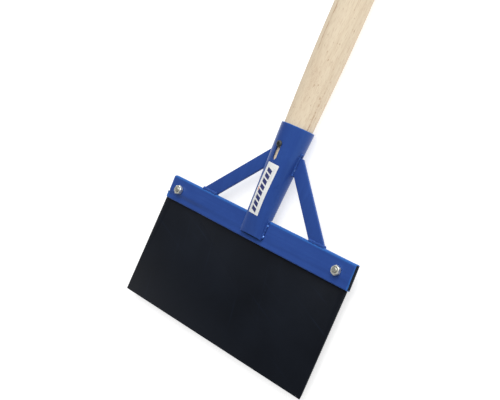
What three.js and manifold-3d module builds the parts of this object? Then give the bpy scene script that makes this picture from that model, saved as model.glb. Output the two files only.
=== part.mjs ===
// Push-type floor scraper: a spring-steel blade bolted under a pressed clamp bar, a conical socket welded
// over the bar between two diagonal braces, and a beech handle held in the socket by one wood screw.
// Millimetres, +Z up. The tool lies with its nuts up: +Y runs from the cutting edge to the handle's end.
import * as THREE from "three";
import { mergeVertices } from "three/addons/utils/BufferGeometryUtils.js";
import Module from "manifold-3d";

const wasm = await Module();
wasm.setup();

// ---- Driving dimensions -------------------------------------------------------------------------------
const bladeWidth = 300;
const bladeHeight = 150;
const bladeThickness = 1.5;
const bladeShift = -5.5; // the blade sits a little to the left in its slotted holes
const bevelHeight = 5; // ground cutting edge, on the underside
const edgeThickness = 0.4;

const barWidth = 299.4;
const barShift = -1.1;
const barHeight = 30;
const barThickness = 4;
const barOverlap = 26; // how much of the blade the bar covers
const barFrontRadius = 2.6; // of the bar's upper edge, on the side of the nuts
const barBackRadius = 1;
const lipHeight = 8.5; // the bar's lower edge is pressed down onto the blade
const lipStep = 2.4;
const lipOverhang = 3.4; // the pressed lip bulges past the bar's left end
const barEndSlant = 1.2; // both ends are sheared a little out of square, narrower at the lip
const barCornerRadius = 3;
const lipEdgeRadius = 1.6;
const seatGap = 0.1; // blade to lip

const boltSpacing = 260;
const boltShift = -2.8; // the pair of bolts sits a little to the left, as the blade does
const boltHeight = 14.8; // above the bar's lower edge
const boltRadius = 2.95;
const boltHoleClearance = 0.35;
const boltProtrusion = 1.3; // past the nut
const boltHeadRadius = 7.5;
const boltHeadHeight = 3.3;
const boltNeckExcess = 0.1; // the square neck is this much wider than the shank
const bladeSlotLength = 20;
const nutAcrossFlats = 10;
const nutHeight = 5;
const nutBoreClearance = 0.2;

const socketLength = 132.5;
const socketSetback = 6.5; // from the bar's lower edge to the socket's lower end
const mouthRadius = 20.2;
const socketEndRadius = 14.3; // of the cone before its lower end is pressed flat
const socketWall = 2.5;
const flatLength = 60; // over which the cone is pressed flat
const flatSqueeze = 0.65;
const flatSpread = 2.5;
const endCutAngle = 18; // degrees, the lower end is cut back so that its mouth shows

const slotWidth = 4.4;
const slotLength = 22;
const slotFromMouth = 21.5; // from the slot's upper end to the socket's mouth
const screwFromMouth = 25;
const screwHeadRadius = 3.4;
const screwHeadHeight = 2.2;
const screwShankRadius = 1.9;
const screwDepth = 16;
const screwSeatGap = 0.15; // head to socket
const pilotClearance = 0.2; // screw to wood

const braceWidth = 17.2;
const braceThickness = 3;
const braceSetback = 1.3; // from the bar's front face to the brace's
const braceFoot = 87.4; // foot's middle, from the tool's axis
const braceAngle = 46; // degrees, from the bar

const handleLength = 1300;
const handleStandoff = 17; // from the bar's upper edge to the handle's lower end, inside the socket
const handleRadius = 20.75;
const handleConeLength = 145; // from the socket's mouth to the full diameter
const handleEndRadius = 18.5; // the handle thins towards its top
const handleEndRounding = 9;
const handleFit = 0.3; // wood to socket

const labelWidth = 15;
const labelLength = 61;
const labelToSlot = 4.5; // from the label's upper end to the slot
const labelSkew = 3.2; // degrees, stuck on by hand
const labelShift = 0.6;
const labelThickness = 0.3;
const labelClearance = 0.3;

const beadRadius = 2.1;
const beadRise = 0.8; // a weld bead's centre stands this far out of its corner
const weldGap = 0.3;

// ---- Derived places -----------------------------------------------------------------------------------
const barBottom = bladeHeight - barOverlap;
const barTop = barBottom + barHeight;
const lipBack = bladeThickness / 2 + seatGap;
const webBack = lipBack + lipStep;
const webFront = webBack + barThickness;
const barLeft = barShift - barWidth / 2;
const barRight = barShift + barWidth / 2;
const lipLeft = barLeft + barEndSlant;
const lipRight = barRight - barEndSlant;
const boltY = barBottom + boltHeight;
const boltX = (side) => boltShift + (side * boltSpacing) / 2;
const axisZ = webFront; // the socket is cut in half by the bar's front face
const socketBottom = barBottom + socketSetback;
const socketTop = socketBottom + socketLength;
const nutTop = webFront + nutHeight;
const slotEnd = socketLength - slotFromMouth; // along the socket, from its lower end
const slotStart = slotEnd - slotLength;
const screwPlace = socketLength - screwFromMouth;
const labelStart = slotStart - labelToSlot - labelLength;
const boltNeckWidth = 2 * boltRadius + boltNeckExcess;
const handleStart = barTop + handleStandoff;
const handleEnd = handleStart + handleLength;
const around = 48; // facets round the socket and the handle

// ---- Materials ----------------------------------------------------------------------------------------
function finish(color, roughness, metalness) {
  return new THREE.MeshStandardMaterial({ color, roughness, metalness });
}
const bluePaint = () => finish(0x2a4b9c, 0.3, 0.0);
const beech = () => finish(0xe0cba6, 0.6, 0.0);
const springSteel = () => finish(0x1e2226, 0.4, 0.8);
const zinc = () => finish(0xc9c8b8, 0.35, 0.9);
const blackOxide = () => finish(0x2b2d2c, 0.45, 0.6);
const whiteFilm = () => finish(0xdfe1de, 0.35, 0.0);

// ---- Helpers ------------------------------------------------------------------------------------------
function solidOf(geometry) {
  const bare = geometry.clone();
  bare.deleteAttribute("normal");
  bare.deleteAttribute("uv");
  const merged = mergeVertices(bare, 1e-4);
  const mesh = new wasm.Mesh({
    numProp: 3,
    vertProperties: merged.attributes.position.array,
    triVerts: new Uint32Array(merged.index.array),
  });
  return new wasm.Manifold(mesh);
}

function geometryOf(solid) {
  const { vertProperties, triVerts } = solid.getMesh();
  const geometry = new THREE.BufferGeometry();
  geometry.setAttribute("position", new THREE.BufferAttribute(vertProperties, 3));
  geometry.setIndex(new THREE.BufferAttribute(triVerts, 1));
  return geometry;
}

// A closed skin over rings of points that run anticlockwise about -Y, from the lowest Y to the highest.
function loft(rings) {
  const count = rings[0].length;
  const points = rings.flat();
  const faces = [];
  const centres = [rings[0], rings.at(-1)].map((ring) => {
    const sum = ring.reduce((total, point) => total.add(point), new THREE.Vector3());
    return points.push(sum.divideScalar(count)) - 1;
  });
  const lastRing = (rings.length - 1) * count;
  for (let j = 0; j < count; j++) {
    const next = (j + 1) % count;
    for (let i = 0; i < lastRing; i += count) {
      faces.push(i + j, i + count + j, i + next);
      faces.push(i + next, i + count + j, i + count + next);
    }
    faces.push(centres[0], j, next);
    faces.push(centres[1], lastRing + next, lastRing + j);
  }
  return new THREE.BufferGeometry().setFromPoints(points).setIndex(faces);
}

// An oval ring about the tool's axis at height y, with half-widths a across and b up.
function ovalRing(y, a, b, segments = around) {
  return Array.from({ length: segments }, (_, j) => {
    const angle = (2 * Math.PI * j) / segments;
    return new THREE.Vector3(a * Math.cos(angle), y, axisZ + b * Math.sin(angle));
  });
}

// An outline in X and Y, given thickness from one Z to another.
function plate(shape, low, high) {
  const options = { depth: high - low, bevelEnabled: false, curveSegments: 6 };
  return new THREE.ExtrudeGeometry(shape, options).translate(0, 0, low);
}

function post(radius, low, high, x, y, segments = 24) {
  const body = new THREE.CylinderGeometry(radius, radius, high - low, segments);
  return body.rotateX(Math.PI / 2).translate(x, y, (low + high) / 2);
}

function cut(geometry, ...tools) {
  return geometryOf(tools.reduce((solid, tool) => solid.subtract(solidOf(tool)), solidOf(geometry)));
}

// Cuts geometry back from its neighbours and leaves the given gap all round them.
function cutClear(geometry, neighbours, gap) {
  const signs = [-gap, gap];
  const shifts = signs.flatMap((x) => signs.flatMap((y) => signs.map((z) => [x, y, z])));
  const tools = neighbours.flatMap((n) => shifts.map((shift) => n.clone().translate(...shift)));
  return cut(geometry, ...tools);
}

function roundedOutline(left, right, bottom, top, radius) {
  const shape = new THREE.Shape();
  shape.absarc(right - radius, bottom + radius, radius, -Math.PI / 2, 0);
  shape.absarc(right - radius, top - radius, radius, 0, Math.PI / 2);
  shape.absarc(left + radius, top - radius, radius, Math.PI / 2, Math.PI);
  shape.absarc(left + radius, bottom + radius, radius, Math.PI, 1.5 * Math.PI);
  return shape;
}

const group = new THREE.Group();
function addPiece(name, geometry, material) {
  const mesh = new THREE.Mesh(geometry, material);
  mesh.name = name;
  group.add(mesh);
  return geometry;
}

// ---- Blade --------------------------------------------------------------------------------------------
function bladeGeometry() {
  const half = bladeThickness / 2;
  const section = new THREE.Shape();
  section.moveTo(0, half);
  section.lineTo(0, half - edgeThickness);
  section.lineTo(bevelHeight, -half);
  section.lineTo(bladeHeight, -half);
  section.lineTo(bladeHeight, half);
  const sheet = new THREE.ExtrudeGeometry(section, { depth: bladeWidth, bevelEnabled: false });
  // The section's x becomes Y and its y becomes Z, so its depth runs along X.
  const turn = new THREE.Matrix4().makeBasis(
    new THREE.Vector3(0, 1, 0), new THREE.Vector3(0, 0, 1), new THREE.Vector3(1, 0, 0));
  sheet.applyMatrix4(turn).translate(bladeShift - bladeWidth / 2, 0, 0);
  const slotHalf = boltNeckWidth / 2 + boltHoleClearance;
  const slots = [-1, 1].map((side) => {
    const middle = boltX(side);
    const reach = bladeSlotLength / 2;
    const ends = [middle - reach, middle + reach];
    const outline = roundedOutline(...ends, boltY - slotHalf, boltY + slotHalf, slotHalf);
    return plate(outline, -bladeThickness, bladeThickness);
  });
  return cut(sheet, ...slots);
}

// ---- Clamp bar ----------------------------------------------------------------------------------------
// The bar's section: its lower lip is pressed down onto the blade, and its edges are rounded.
function barSection() {
  const bend = barBottom + lipHeight;
  const slope = lipStep / 2;
  const lipFront = webFront - lipStep;
  const shape = new THREE.Shape();
  const corner = (y, z, radius, from) => shape.absarc(y, z, radius, from, from + Math.PI / 2);
  shape.moveTo(barBottom, lipBack);
  shape.lineTo(bend - slope, lipBack);
  shape.lineTo(bend + slope, webBack);
  corner(barTop - barBackRadius, webBack + barBackRadius, barBackRadius, -Math.PI / 2);
  corner(barTop - barFrontRadius, webFront - barFrontRadius, barFrontRadius, 0);
  shape.lineTo(bend + slope, webFront);
  shape.lineTo(bend - slope, lipFront);
  corner(barBottom + lipEdgeRadius, lipFront - lipEdgeRadius, lipEdgeRadius, Math.PI / 2);
  return shape;
}

function barGeometry() {
  const long = barWidth + 2 * lipOverhang;
  const options = { depth: long, bevelEnabled: false, curveSegments: 4 };
  const turn = new THREE.Matrix4().makeBasis(
    new THREE.Vector3(0, 1, 0), new THREE.Vector3(0, 0, 1), new THREE.Vector3(1, 0, 0));
  const stock = new THREE.ExtrudeGeometry(barSection(), options);
  stock.applyMatrix4(turn).translate(barShift - long / 2, 0, 0);
  const r = barCornerRadius;
  const bulge = lipHeight / 2;
  const outline = new THREE.Shape();
  outline.absarc(lipRight - r, barBottom + r, r, -Math.PI / 2, 0);
  outline.absarc(barRight - r, barTop - r, r, 0, Math.PI / 2);
  outline.absarc(barLeft + r, barTop - r, r, Math.PI / 2, Math.PI);
  outline.lineTo(lipLeft, barBottom + lipHeight);
  outline.absellipse(lipLeft, barBottom + bulge, lipOverhang, bulge, Math.PI / 2, 1.5 * Math.PI);
  const shaped = solidOf(stock).intersect(solidOf(plate(outline, -barThickness, 2 * webFront)));
  const holes = [-1, 1].map((side) =>
    post(boltRadius + boltHoleClearance, -barThickness, 2 * webFront, boltX(side), boltY));
  return cut(geometryOf(shaped), ...holes);
}

// ---- Socket -------------------------------------------------------------------------------------------
// Half-widths of the socket's outside at a distance s from its lower end: a cone pressed flat at the bottom.
function socketHalfWidths(s) {
  const cone = THREE.MathUtils.lerp(socketEndRadius, mouthRadius, s / socketLength);
  const press = Math.max(0, 1 - s / flatLength) ** 2;
  return [cone + flatSpread * press, cone * (1 - flatSqueeze * press)];
}

function socketRings(from, to, inset) {
  const stations = [];
  const steps = 12;
  const bendEnd = Math.min(flatLength, to);
  for (let i = 0; i <= steps; i++) stations.push(THREE.MathUtils.lerp(from, bendEnd, i / steps));
  if (to > bendEnd) stations.push(to);
  return stations.map((s) => {
    const [a, b] = socketHalfWidths(s);
    return ovalRing(socketBottom + s, a - inset, Math.max(b - inset, 0.5));
  });
}

const socketOutside = () => loft(socketRings(-8, socketLength, 0));

// The wedge that cuts the socket's lower end back, steeper than square so that its mouth can be seen.
function endCutter() {
  const [, crown] = socketHalfWidths(0);
  const reach = 60;
  const block = new THREE.BoxGeometry(2 * reach, reach, 4 * reach).translate(0, -reach / 2, 0);
  const tilt = THREE.MathUtils.degToRad(endCutAngle);
  return block.rotateX(-tilt).translate(0, socketBottom, axisZ + crown);
}

// Everything behind the bar's front face, up to the bar's top edge, is cut out of the socket.
function saddleCutter() {
  const depth = 3 * mouthRadius;
  const height = barTop - socketBottom + 40;
  const block = new THREE.BoxGeometry(4 * mouthRadius, height, depth);
  return block.translate(0, barTop + weldGap - height / 2, webFront + weldGap - depth / 2);
}

function slotCutter() {
  const half = slotWidth / 2;
  const outline = roundedOutline(-half, half, socketBottom + slotStart, socketBottom + slotEnd, half - 0.01);
  return plate(outline, axisZ, axisZ + 2 * mouthRadius);
}

function socketGeometry() {
  const bore = loft(socketRings(-12, socketLength + 4, socketWall));
  return cut(socketOutside(), bore, endCutter(), saddleCutter(), slotCutter());
}

// ---- Handle -------------------------------------------------------------------------------------------
function handleGeometry() {
  const rings = [];
  const inside = 5;
  for (let i = 0; i <= inside; i++) {
    const s = THREE.MathUtils.lerp(handleStart - socketBottom, socketLength, i / inside);
    const [a, b] = socketHalfWidths(s);
    const inset = socketWall + handleFit;
    rings.push(ovalRing(socketBottom + s, a - inset, b - inset));
  }
  const coneSteps = 6;
  const mouth = mouthRadius - socketWall - handleFit;
  for (let i = 1; i <= coneSteps; i++) {
    const t = i / coneSteps;
    const radius = mouth + (handleRadius - mouth) * Math.sin((t * Math.PI) / 2);
    rings.push(ovalRing(socketTop + t * handleConeLength, radius, radius));
  }
  const roundSteps = 4;
  for (let i = 0; i <= roundSteps; i++) {
    const angle = (i / roundSteps) * (Math.PI / 2);
    const y = handleEnd - handleEndRounding * (1 - Math.sin(angle));
    const radius = handleEndRadius - handleEndRounding * (1 - Math.cos(angle));
    rings.push(ovalRing(y, radius, radius));
  }
  const pilotBottom = screwSeat() - screwDepth - pilotClearance;
  const pilotTop = axisZ + 2 * mouthRadius;
  const pilot = post(screwShankRadius + pilotClearance, pilotBottom, pilotTop, 0, screwY(), 12);
  return cut(loft(rings), pilot);
}

// ---- Handle screw -------------------------------------------------------------------------------------
const screwY = () => socketBottom + screwPlace;

// The socket's crown under the screw's head, at the head's upper edge where the cone is highest.
function screwSeat() {
  const [, b] = socketHalfWidths(screwPlace + screwHeadRadius);
  return axisZ + b + screwSeatGap;
}

function screwGeometry() {
  const seat = screwSeat();
  const profile = [new THREE.Vector2(0, seat - screwDepth)];
  profile.push(new THREE.Vector2(screwShankRadius, seat - screwDepth + 5));
  profile.push(new THREE.Vector2(screwShankRadius, seat));
  profile.push(new THREE.Vector2(screwHeadRadius, seat));
  const steps = 4;
  for (let i = 0; i <= steps; i++) {
    const angle = (i / steps) * (Math.PI / 2);
    const height = 0.4 + (screwHeadHeight - 0.4) * Math.sin(angle);
    profile.push(new THREE.Vector2(i === steps ? 0 : screwHeadRadius * Math.cos(angle), seat + height));
  }
  return new THREE.LatheGeometry(profile, 16).rotateX(Math.PI / 2).translate(0, screwY(), 0);
}

// ---- Braces -------------------------------------------------------------------------------------------
const braceHigh = webFront - braceSetback;
const braceLow = braceHigh - braceThickness;

function braceGeometry(side) {
  const angle = THREE.MathUtils.degToRad(braceAngle);
  const halfFoot = braceWidth / 2 / Math.sin(angle);
  const foot = barTop + weldGap;
  const rise = (braceFoot - halfFoot) * Math.tan(angle);
  const shape = new THREE.Shape();
  shape.moveTo(side * (braceFoot - halfFoot), foot);
  shape.lineTo(side * (braceFoot + halfFoot), foot);
  shape.lineTo(side * 2 * halfFoot, foot + rise);
  shape.lineTo(0, foot + rise);
  return cutClear(plate(shape, braceLow, braceHigh), [socketOutside()], weldGap);
}

// ---- Bolts and nuts -----------------------------------------------------------------------------------
// A mushroom-head bolt: domed head under the blade, square neck in the blade's slot, round shank.
function boltGeometry(x) {
  const under = -bladeThickness / 2 - seatGap;
  const crownSteps = 5;
  const head = [new THREE.Vector2(0, under - boltHeadHeight)];
  for (let i = 1; i <= crownSteps; i++) {
    const angle = (i / crownSteps) * (Math.PI / 2);
    head.push(new THREE.Vector2(boltHeadRadius * Math.sin(angle), under - boltHeadHeight * Math.cos(angle)));
  }
  head.push(new THREE.Vector2(0, under));
  const dome = new THREE.LatheGeometry(head, 24).rotateX(Math.PI / 2).translate(x, boltY, 0);
  const neckHeight = bladeThickness + seatGap;
  const neck = new THREE.BoxGeometry(boltNeckWidth, boltNeckWidth, neckHeight + 1);
  neck.translate(x, boltY, under + neckHeight / 2 - 0.5);
  const shank = post(boltRadius, under - 1, nutTop + boltProtrusion, x, boltY);
  return geometryOf(solidOf(dome).add(solidOf(neck)).add(solidOf(shank)));
}

function nutGeometry(x) {
  const corner = nutAcrossFlats / 2 / Math.cos(Math.PI / 6);
  const seat = webFront + seatGap;
  const prism = post(corner, seat, nutTop, x, boltY, 6);
  // A turned blank with chamfers at both faces takes the sharp corners off the prism.
  const flat = nutAcrossFlats / 2;
  const drop = (corner - flat) * Math.tan(Math.PI / 6) + 0.1;
  const blank = [
    [0, seat - 0.01], [flat - 0.2, seat - 0.01], [corner + 0.1, seat + drop],
    [corner + 0.1, nutTop - drop], [flat - 0.2, nutTop + 0.01], [0, nutTop + 0.01],
  ].map(([radius, z]) => new THREE.Vector2(radius, z));
  const turned = new THREE.LatheGeometry(blank, 24).rotateX(Math.PI / 2).translate(x, boltY, 0);
  const body = solidOf(prism).intersect(solidOf(turned));
  return cut(geometryOf(body), post(boltRadius + nutBoreClearance, 0, 2 * nutTop, x, boltY));
}

// ---- Label --------------------------------------------------------------------------------------------
// A thin film bent onto the socket's front, with its long side turned a little off the axis.
function labelGeometry() {
  const film = new THREE.BoxGeometry(labelWidth, labelLength, labelThickness, 8, 10, 1);
  const skew = THREE.MathUtils.degToRad(labelSkew);
  const corners = film.attributes.position;
  for (let i = 0; i < corners.count; i++) {
    const across = corners.getX(i);
    const along = corners.getY(i);
    const out = corners.getZ(i) + labelThickness / 2 + labelClearance;
    const x = across * Math.cos(skew) + along * Math.sin(skew) + labelShift;
    const s = labelStart + labelLength / 2 + along * Math.cos(skew) - across * Math.sin(skew);
    const [a, b] = socketHalfWidths(s);
    const angle = Math.asin(x / a);
    corners.setXYZ(i, (a + out) * Math.sin(angle), socketBottom + s, axisZ + (b + out) * Math.cos(angle));
  }
  return film;
}

// ---- Weld beads ---------------------------------------------------------------------------------------
// A round bead along a line of points, with rounded-off ends.
function bead(points, radius) {
  const path = new THREE.CatmullRomCurve3(points);
  const steps = 6;
  const frames = path.computeFrenetFrames(steps, false);
  const sides = 8;
  const rings = [];
  for (let i = 0; i <= steps; i++) {
    const t = i / steps;
    const size = radius * Math.min(1, 0.55 + 0.45 * Math.sin(Math.PI * t) * 3);
    const centre = path.getPointAt(t);
    rings.push(Array.from({ length: sides }, (_, j) => {
      const angle = (-2 * Math.PI * j) / sides;
      const offset = frames.normals[i].clone().multiplyScalar(size * Math.cos(angle));
      offset.addScaledVector(frames.binormals[i], size * Math.sin(angle));
      return centre.clone().add(offset);
    }));
  }
  return rings;
}

function beadGeometry(points, radius, neighbours) {
  const skin = loft(bead(points, radius));
  const outward = solidOf(skin).volume() > 0;
  const rings = bead(points, radius).map((ring) => (outward ? ring : ring.reverse()));
  return cutClear(loft(rings), neighbours, weldGap);
}

// Points along the socket's side at one height above the axis, from one distance to another.
function sideSeam(side, from, to, z, stand) {
  const count = 6;
  return Array.from({ length: count }, (_, i) => {
    const s = THREE.MathUtils.lerp(from, to, i / (count - 1));
    const [a, b] = socketHalfWidths(s);
    const x = a * Math.sqrt(1 - ((z - axisZ) / b) ** 2) + stand;
    return new THREE.Vector3(side * x, socketBottom + s, z);
  });
}

// ---- Assembly -----------------------------------------------------------------------------------------
const sides = { left: -1, right: 1 };
addPiece("blade", bladeGeometry(), springSteel());
const bar = addPiece("clamp_bar", barGeometry(), bluePaint());
addPiece("socket", socketGeometry(), bluePaint());
addPiece("handle", handleGeometry(), beech());
addPiece("handle_screw", screwGeometry(), blackOxide());
addPiece("label", labelGeometry(), whiteFilm());

for (const [name, side] of Object.entries(sides)) {
  const x = boltX(side);
  addPiece(`bolt_${name}`, boltGeometry(x), zinc());
  addPiece(`nut_${name}`, nutGeometry(x), zinc());
  const brace = addPiece(`brace_${name}`, braceGeometry(side), bluePaint());

  const outside = socketOutside();
  const neighbours = [bar, outside, brace];
  const reachUp = barTop - socketBottom;
  const barSeam = sideSeam(side, 3, reachUp - 1, webFront + beadRise, beadRise);
  addPiece(`weld_socket_${name}`, beadGeometry(barSeam, beadRadius, neighbours), bluePaint());

  const slope = Math.tan(THREE.MathUtils.degToRad(braceAngle));
  const middle = reachUp + (braceFoot - mouthRadius) * slope;
  const halfSeam = braceWidth / 2 / Math.cos(THREE.MathUtils.degToRad(braceAngle));
  const faces = { front: [braceHigh, 1], back: [braceLow, -1] };
  const halfFoot = braceWidth / 2 / slope + 2;
  for (const [face, [z, out]] of Object.entries(faces)) {
    const seam = sideSeam(side, middle - halfSeam, middle + halfSeam, z + out * beadRise, beadRise);
    addPiece(`weld_brace_${name}_${face}`, beadGeometry(seam, beadRadius, neighbours), bluePaint());
    const footLine = [-1, -0.3, 0.3, 1].map((t) =>
      new THREE.Vector3(side * braceFoot + t * halfFoot, barTop, z - out * beadRise / 2));
    addPiece(`weld_foot_${name}_${face}`, beadGeometry(footLine, beadRadius, neighbours), bluePaint());
  }
}

// The origin is under the middle of the tool's box, on the surface it lies on.
const leftmost = Math.min(bladeShift - bladeWidth / 2, barLeft, lipLeft - lipOverhang);
const rightmost = Math.max(bladeShift + bladeWidth / 2, barRight);
group.position.set(-(leftmost + rightmost) / 2, -handleEnd / 2, handleRadius - axisZ);

export default group;
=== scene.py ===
"""Push-type floor scraper: the finished surfaces, materials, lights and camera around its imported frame.

The frame's boxes say where every piece sits. Lengths are in metres, and the sizes that a box doesn't give
are properties with their defaults below.
"""

import math

import bmesh
import bpy
import numpy as np
from bpy.props import FloatProperty, FloatVectorProperty, IntProperty, PointerProperty
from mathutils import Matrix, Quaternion, Vector


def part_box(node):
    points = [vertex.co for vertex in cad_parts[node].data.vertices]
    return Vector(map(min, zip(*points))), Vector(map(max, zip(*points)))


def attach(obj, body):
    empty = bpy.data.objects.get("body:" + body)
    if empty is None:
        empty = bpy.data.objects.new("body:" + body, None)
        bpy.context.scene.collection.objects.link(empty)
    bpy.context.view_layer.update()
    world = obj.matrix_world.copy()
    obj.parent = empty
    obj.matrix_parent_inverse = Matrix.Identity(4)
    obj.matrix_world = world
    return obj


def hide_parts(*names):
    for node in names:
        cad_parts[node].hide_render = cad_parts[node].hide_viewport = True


bl_info = {
    "name": "Floor scraper",
    "version": (1, 0, 0),
    "blender": (4, 5, 0),
    "location": "3D View > Sidebar > Scraper",
    "description": "Builds the finished pieces of a long-handled floor scraper around its frame",
    "category": "Add Mesh",
}

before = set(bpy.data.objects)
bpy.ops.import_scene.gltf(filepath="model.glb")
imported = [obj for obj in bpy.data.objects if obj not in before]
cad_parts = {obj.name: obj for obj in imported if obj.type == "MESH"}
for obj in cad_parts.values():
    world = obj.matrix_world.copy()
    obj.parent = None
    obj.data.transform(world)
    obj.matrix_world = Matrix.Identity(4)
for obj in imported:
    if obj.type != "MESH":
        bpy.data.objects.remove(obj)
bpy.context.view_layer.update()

MM = 0.001
bar_low, bar_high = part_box("clamp_bar")
blade_low, blade_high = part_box("blade")
socket_low, socket_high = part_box("socket")
handle_low, handle_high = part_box("handle")
brace_low, brace_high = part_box("brace_right")
AXIS_X = (socket_low.x + socket_high.x) / 2
AXIS_Z = (handle_low.z + handle_high.z) / 2


# ---- Sizes and colours --------------------------------------------------------------------------------
def length(name, description, millimetres):
    """A length property, in metres inside and with its default given in millimetres."""
    return FloatProperty(name=name, description=description, default=millimetres * MM, min=0.0,
                         unit="LENGTH", subtype="DISTANCE", precision=5)


def colour(name, description, red, green, blue):
    """A linear colour property."""
    return FloatVectorProperty(name=name, description=description, subtype="COLOR", size=3,
                               default=(red, green, blue), min=0.0, max=1.0)


class BarSizes(bpy.types.PropertyGroup):
    """Sizes of the blade and the clamp bar."""
    sheet_edge: length("Sheet edge", "Rounding of the blade's sheared edges", 0.12)
    thickness: length("Bar thickness", "Thickness of the clamp bar's plate", 4.0)
    front_radius: length("Upper edge radius", "Rounding of the bar's upper edge on the nuts' side", 2.6)
    back_radius: length("Back edge radius", "Rounding of the bar's upper edge on the blade's side", 1.0)
    lip_radius: length("Lip edge radius", "Rounding of the bar's lower edge", 1.6)
    lip_height: length("Lip height", "Height of the lip that is pressed down onto the blade", 8.5)
    lip_step: length("Lip step", "How far the lip is pressed back", 2.4)
    lip_bulge: length("Lip bulge", "How far the lip is squeezed out past the bar's left end", 3.4)
    crease_width: length("Crease width", "Width of the bend between the lip and the plate", 3.4)
    corner: length("Left corner radius", "Rounding of the plate's corners at its left end", 3.0)
    right_corner: length("Right corner radius", "Rounding of the plate's corners at its right end", 1.0)
    slant: length("End slant", "How much narrower the bar is at its lip, on each end", 1.2)
    dish: length("Dish", "How hollow the plate's face is", 0.25)
    fade_start: length("Crease start", "Where the crease starts to fade, from the bar's left end", 45.0)
    fade_end: length("Crease end", "Where the crease is gone, from the bar's left end", 95.0)
    right_slant: length("Right slant", "How much shorter the right end is at the top edge than at the lip", 1.1)
    closed_end: length("Closed end", "Length over which the bar's right end is solid down to the blade", 7.0)
    last_press: FloatProperty(name="Last press", description="Share of the lip's step that is left at the right",
                              default=0.28, min=0.0, max=1.0, subtype="FACTOR")
    hole_radius: length("Bolt hole radius", "Radius of the bolt holes through the bar", 3.3)


class SocketSizes(bpy.types.PropertyGroup):
    """Sizes of the socket, its slot and the braces."""
    setback: length("Setback", "From the bar's lower edge to the socket's lower end", 6.5)
    wall: length("Wall", "Wall thickness of the socket", 2.5)
    end_radius: length("Lower radius", "Radius of the cone at its lower end, before it is pressed flat", 14.3)
    flat_length: length("Pressed length", "Length over which the cone is pressed flat", 60.0)
    squeeze: FloatProperty(name="Squeeze", description="Share of the height that is pressed away at the end",
                           default=0.65, min=0.0, max=0.9, subtype="FACTOR")
    spread: length("Spread", "How far the pressed end widens on each side", 2.5)
    boxed: FloatProperty(name="Boxed", description="How much the pressed end's outline turns from round to boxy",
                         default=1.5, min=0.0, max=4.0)
    end_wall: length("End wall", "Wall thickness where the lower end is hammered thin", 0.9)
    end_reach: length("End reach", "How far the cut lower end runs past its setback at the plate", 0.8)
    end_cut: FloatProperty(name="End cut", description="Angle at which the lower end is cut back",
                           default=math.radians(13), unit="ROTATION", subtype="ANGLE")
    seam_gap: length("Seam gap", "Gap between the socket and the bar that the weld fills", 0.3)
    slot_width: length("Slot width", "Width of the slot for the handle's screw", 5.8)
    slot_length: length("Slot length", "Length of the slot for the handle's screw", 22.6)
    slot_from_mouth: length("Slot from mouth", "From the slot's upper end to the socket's mouth", 21.5)
    rim: length("Rim radius", "Rounding of the mouth's rim", 0.7)
    brace_edge: length("Brace edge", "Rounding of the braces' rolled edges", 0.45)


class SmallSizes(bpy.types.PropertyGroup):
    """Sizes of the handle, the fasteners, the welds and the label."""
    handle_fit: length("Handle fit", "Gap between the wood and the socket", 0.3)
    handle_cone: length("Handle cone", "From the socket's mouth to the handle's full diameter", 145.0)
    handle_end: length("Handle end radius", "Radius of the handle near its end", 18.5)
    handle_rounding: length("Handle end rounding", "Rounding of the handle's end", 9.0)
    thread_pitch: length("Thread pitch", "Pitch of the bolts' thread", 1.0)
    thread_depth: length("Thread depth", "Depth of the bolts' thread", 0.45)
    nut_flats: length("Nut across flats", "Width of the nuts across their flats", 10.0)
    head_height: length("Bolt head height", "Height of the bolts' domed heads", 3.3)
    screw_head: length("Screw head radius", "Radius of the handle screw's head", 3.8)
    ripple: length("Weld ripple", "Distance between the ripples of a weld", 1.1)
    bead: length("Weld radius", "Radius of the weld beads", 1.75)
    sink: length("Weld sink", "How far the beads sink onto their plate", 0.85)
    tuck: length("Weld tuck", "How far the beads are tucked against the socket", 1.7)
    spatter: length("Spatter", "Radius of the largest drops beside a weld", 1.4)
    label_corner: length("Label corner", "Rounding of the label's corners", 1.0)
    label_width: length("Label width", "Width of the label", 15.0)
    label_length: length("Label length", "Length of the label", 61.0)
    label_shift: length("Label shift", "How far the label sits to the right of the socket's middle", 0.6)
    label_skew: FloatProperty(name="Label skew", description="How far the label is turned on the socket",
                              default=math.radians(3.2), unit="ROTATION", subtype="ANGLE")
    label_film: length("Label film", "Thickness of the label's film", 0.12)


class Colours(bpy.types.PropertyGroup):
    """Linear colours of the finishes."""
    paint: colour("Paint", "Blue enamel of the bar, the socket and the braces", 0.0225, 0.0570, 0.240)
    paint_light: colour("Light paint", "Blue enamel where it lies thin", 0.0290, 0.0740, 0.290)
    # Painted highlight: the lighter blue along the bar's upper edge, its ends and the socket's mouth rim, where light
    # catches the rounded edges.
    paint_highlight: colour("Painted highlight", "Blue enamel along the bar's edges", 0.030, 0.135, 0.430)
    wood: colour("Wood", "Pale sanded beech", 0.71, 0.605, 0.450)
    wood_dark: colour("Dark grain", "Darker grain of the beech", 0.52, 0.375, 0.250)
    fleck: colour("Fleck", "Small brown flecks of the beech", 0.36, 0.185, 0.095)
    steel: colour("Blade steel", "Dark hardened steel", 0.0014, 0.0027, 0.0058)
    ground: colour("Ground steel", "Bright ground bevel of the cutting edge", 0.42, 0.43, 0.44)
    zinc: colour("Zinc", "Yellowish zinc plating", 0.56, 0.56, 0.50)
    oxide: colour("Black oxide", "Blackened screw", 0.018, 0.020, 0.020)
    film: colour("Label", "White label film", 0.78, 0.79, 0.78)
    ink: colour("Label ink", "Dark blue bars on the label", 0.025, 0.035, 0.140)
    accent: colour("Label accent", "Small orange dash on the label", 0.75, 0.16, 0.05)
    floor: colour("Floor", "Pale studio floor", 0.60, 0.60, 0.60)


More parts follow.
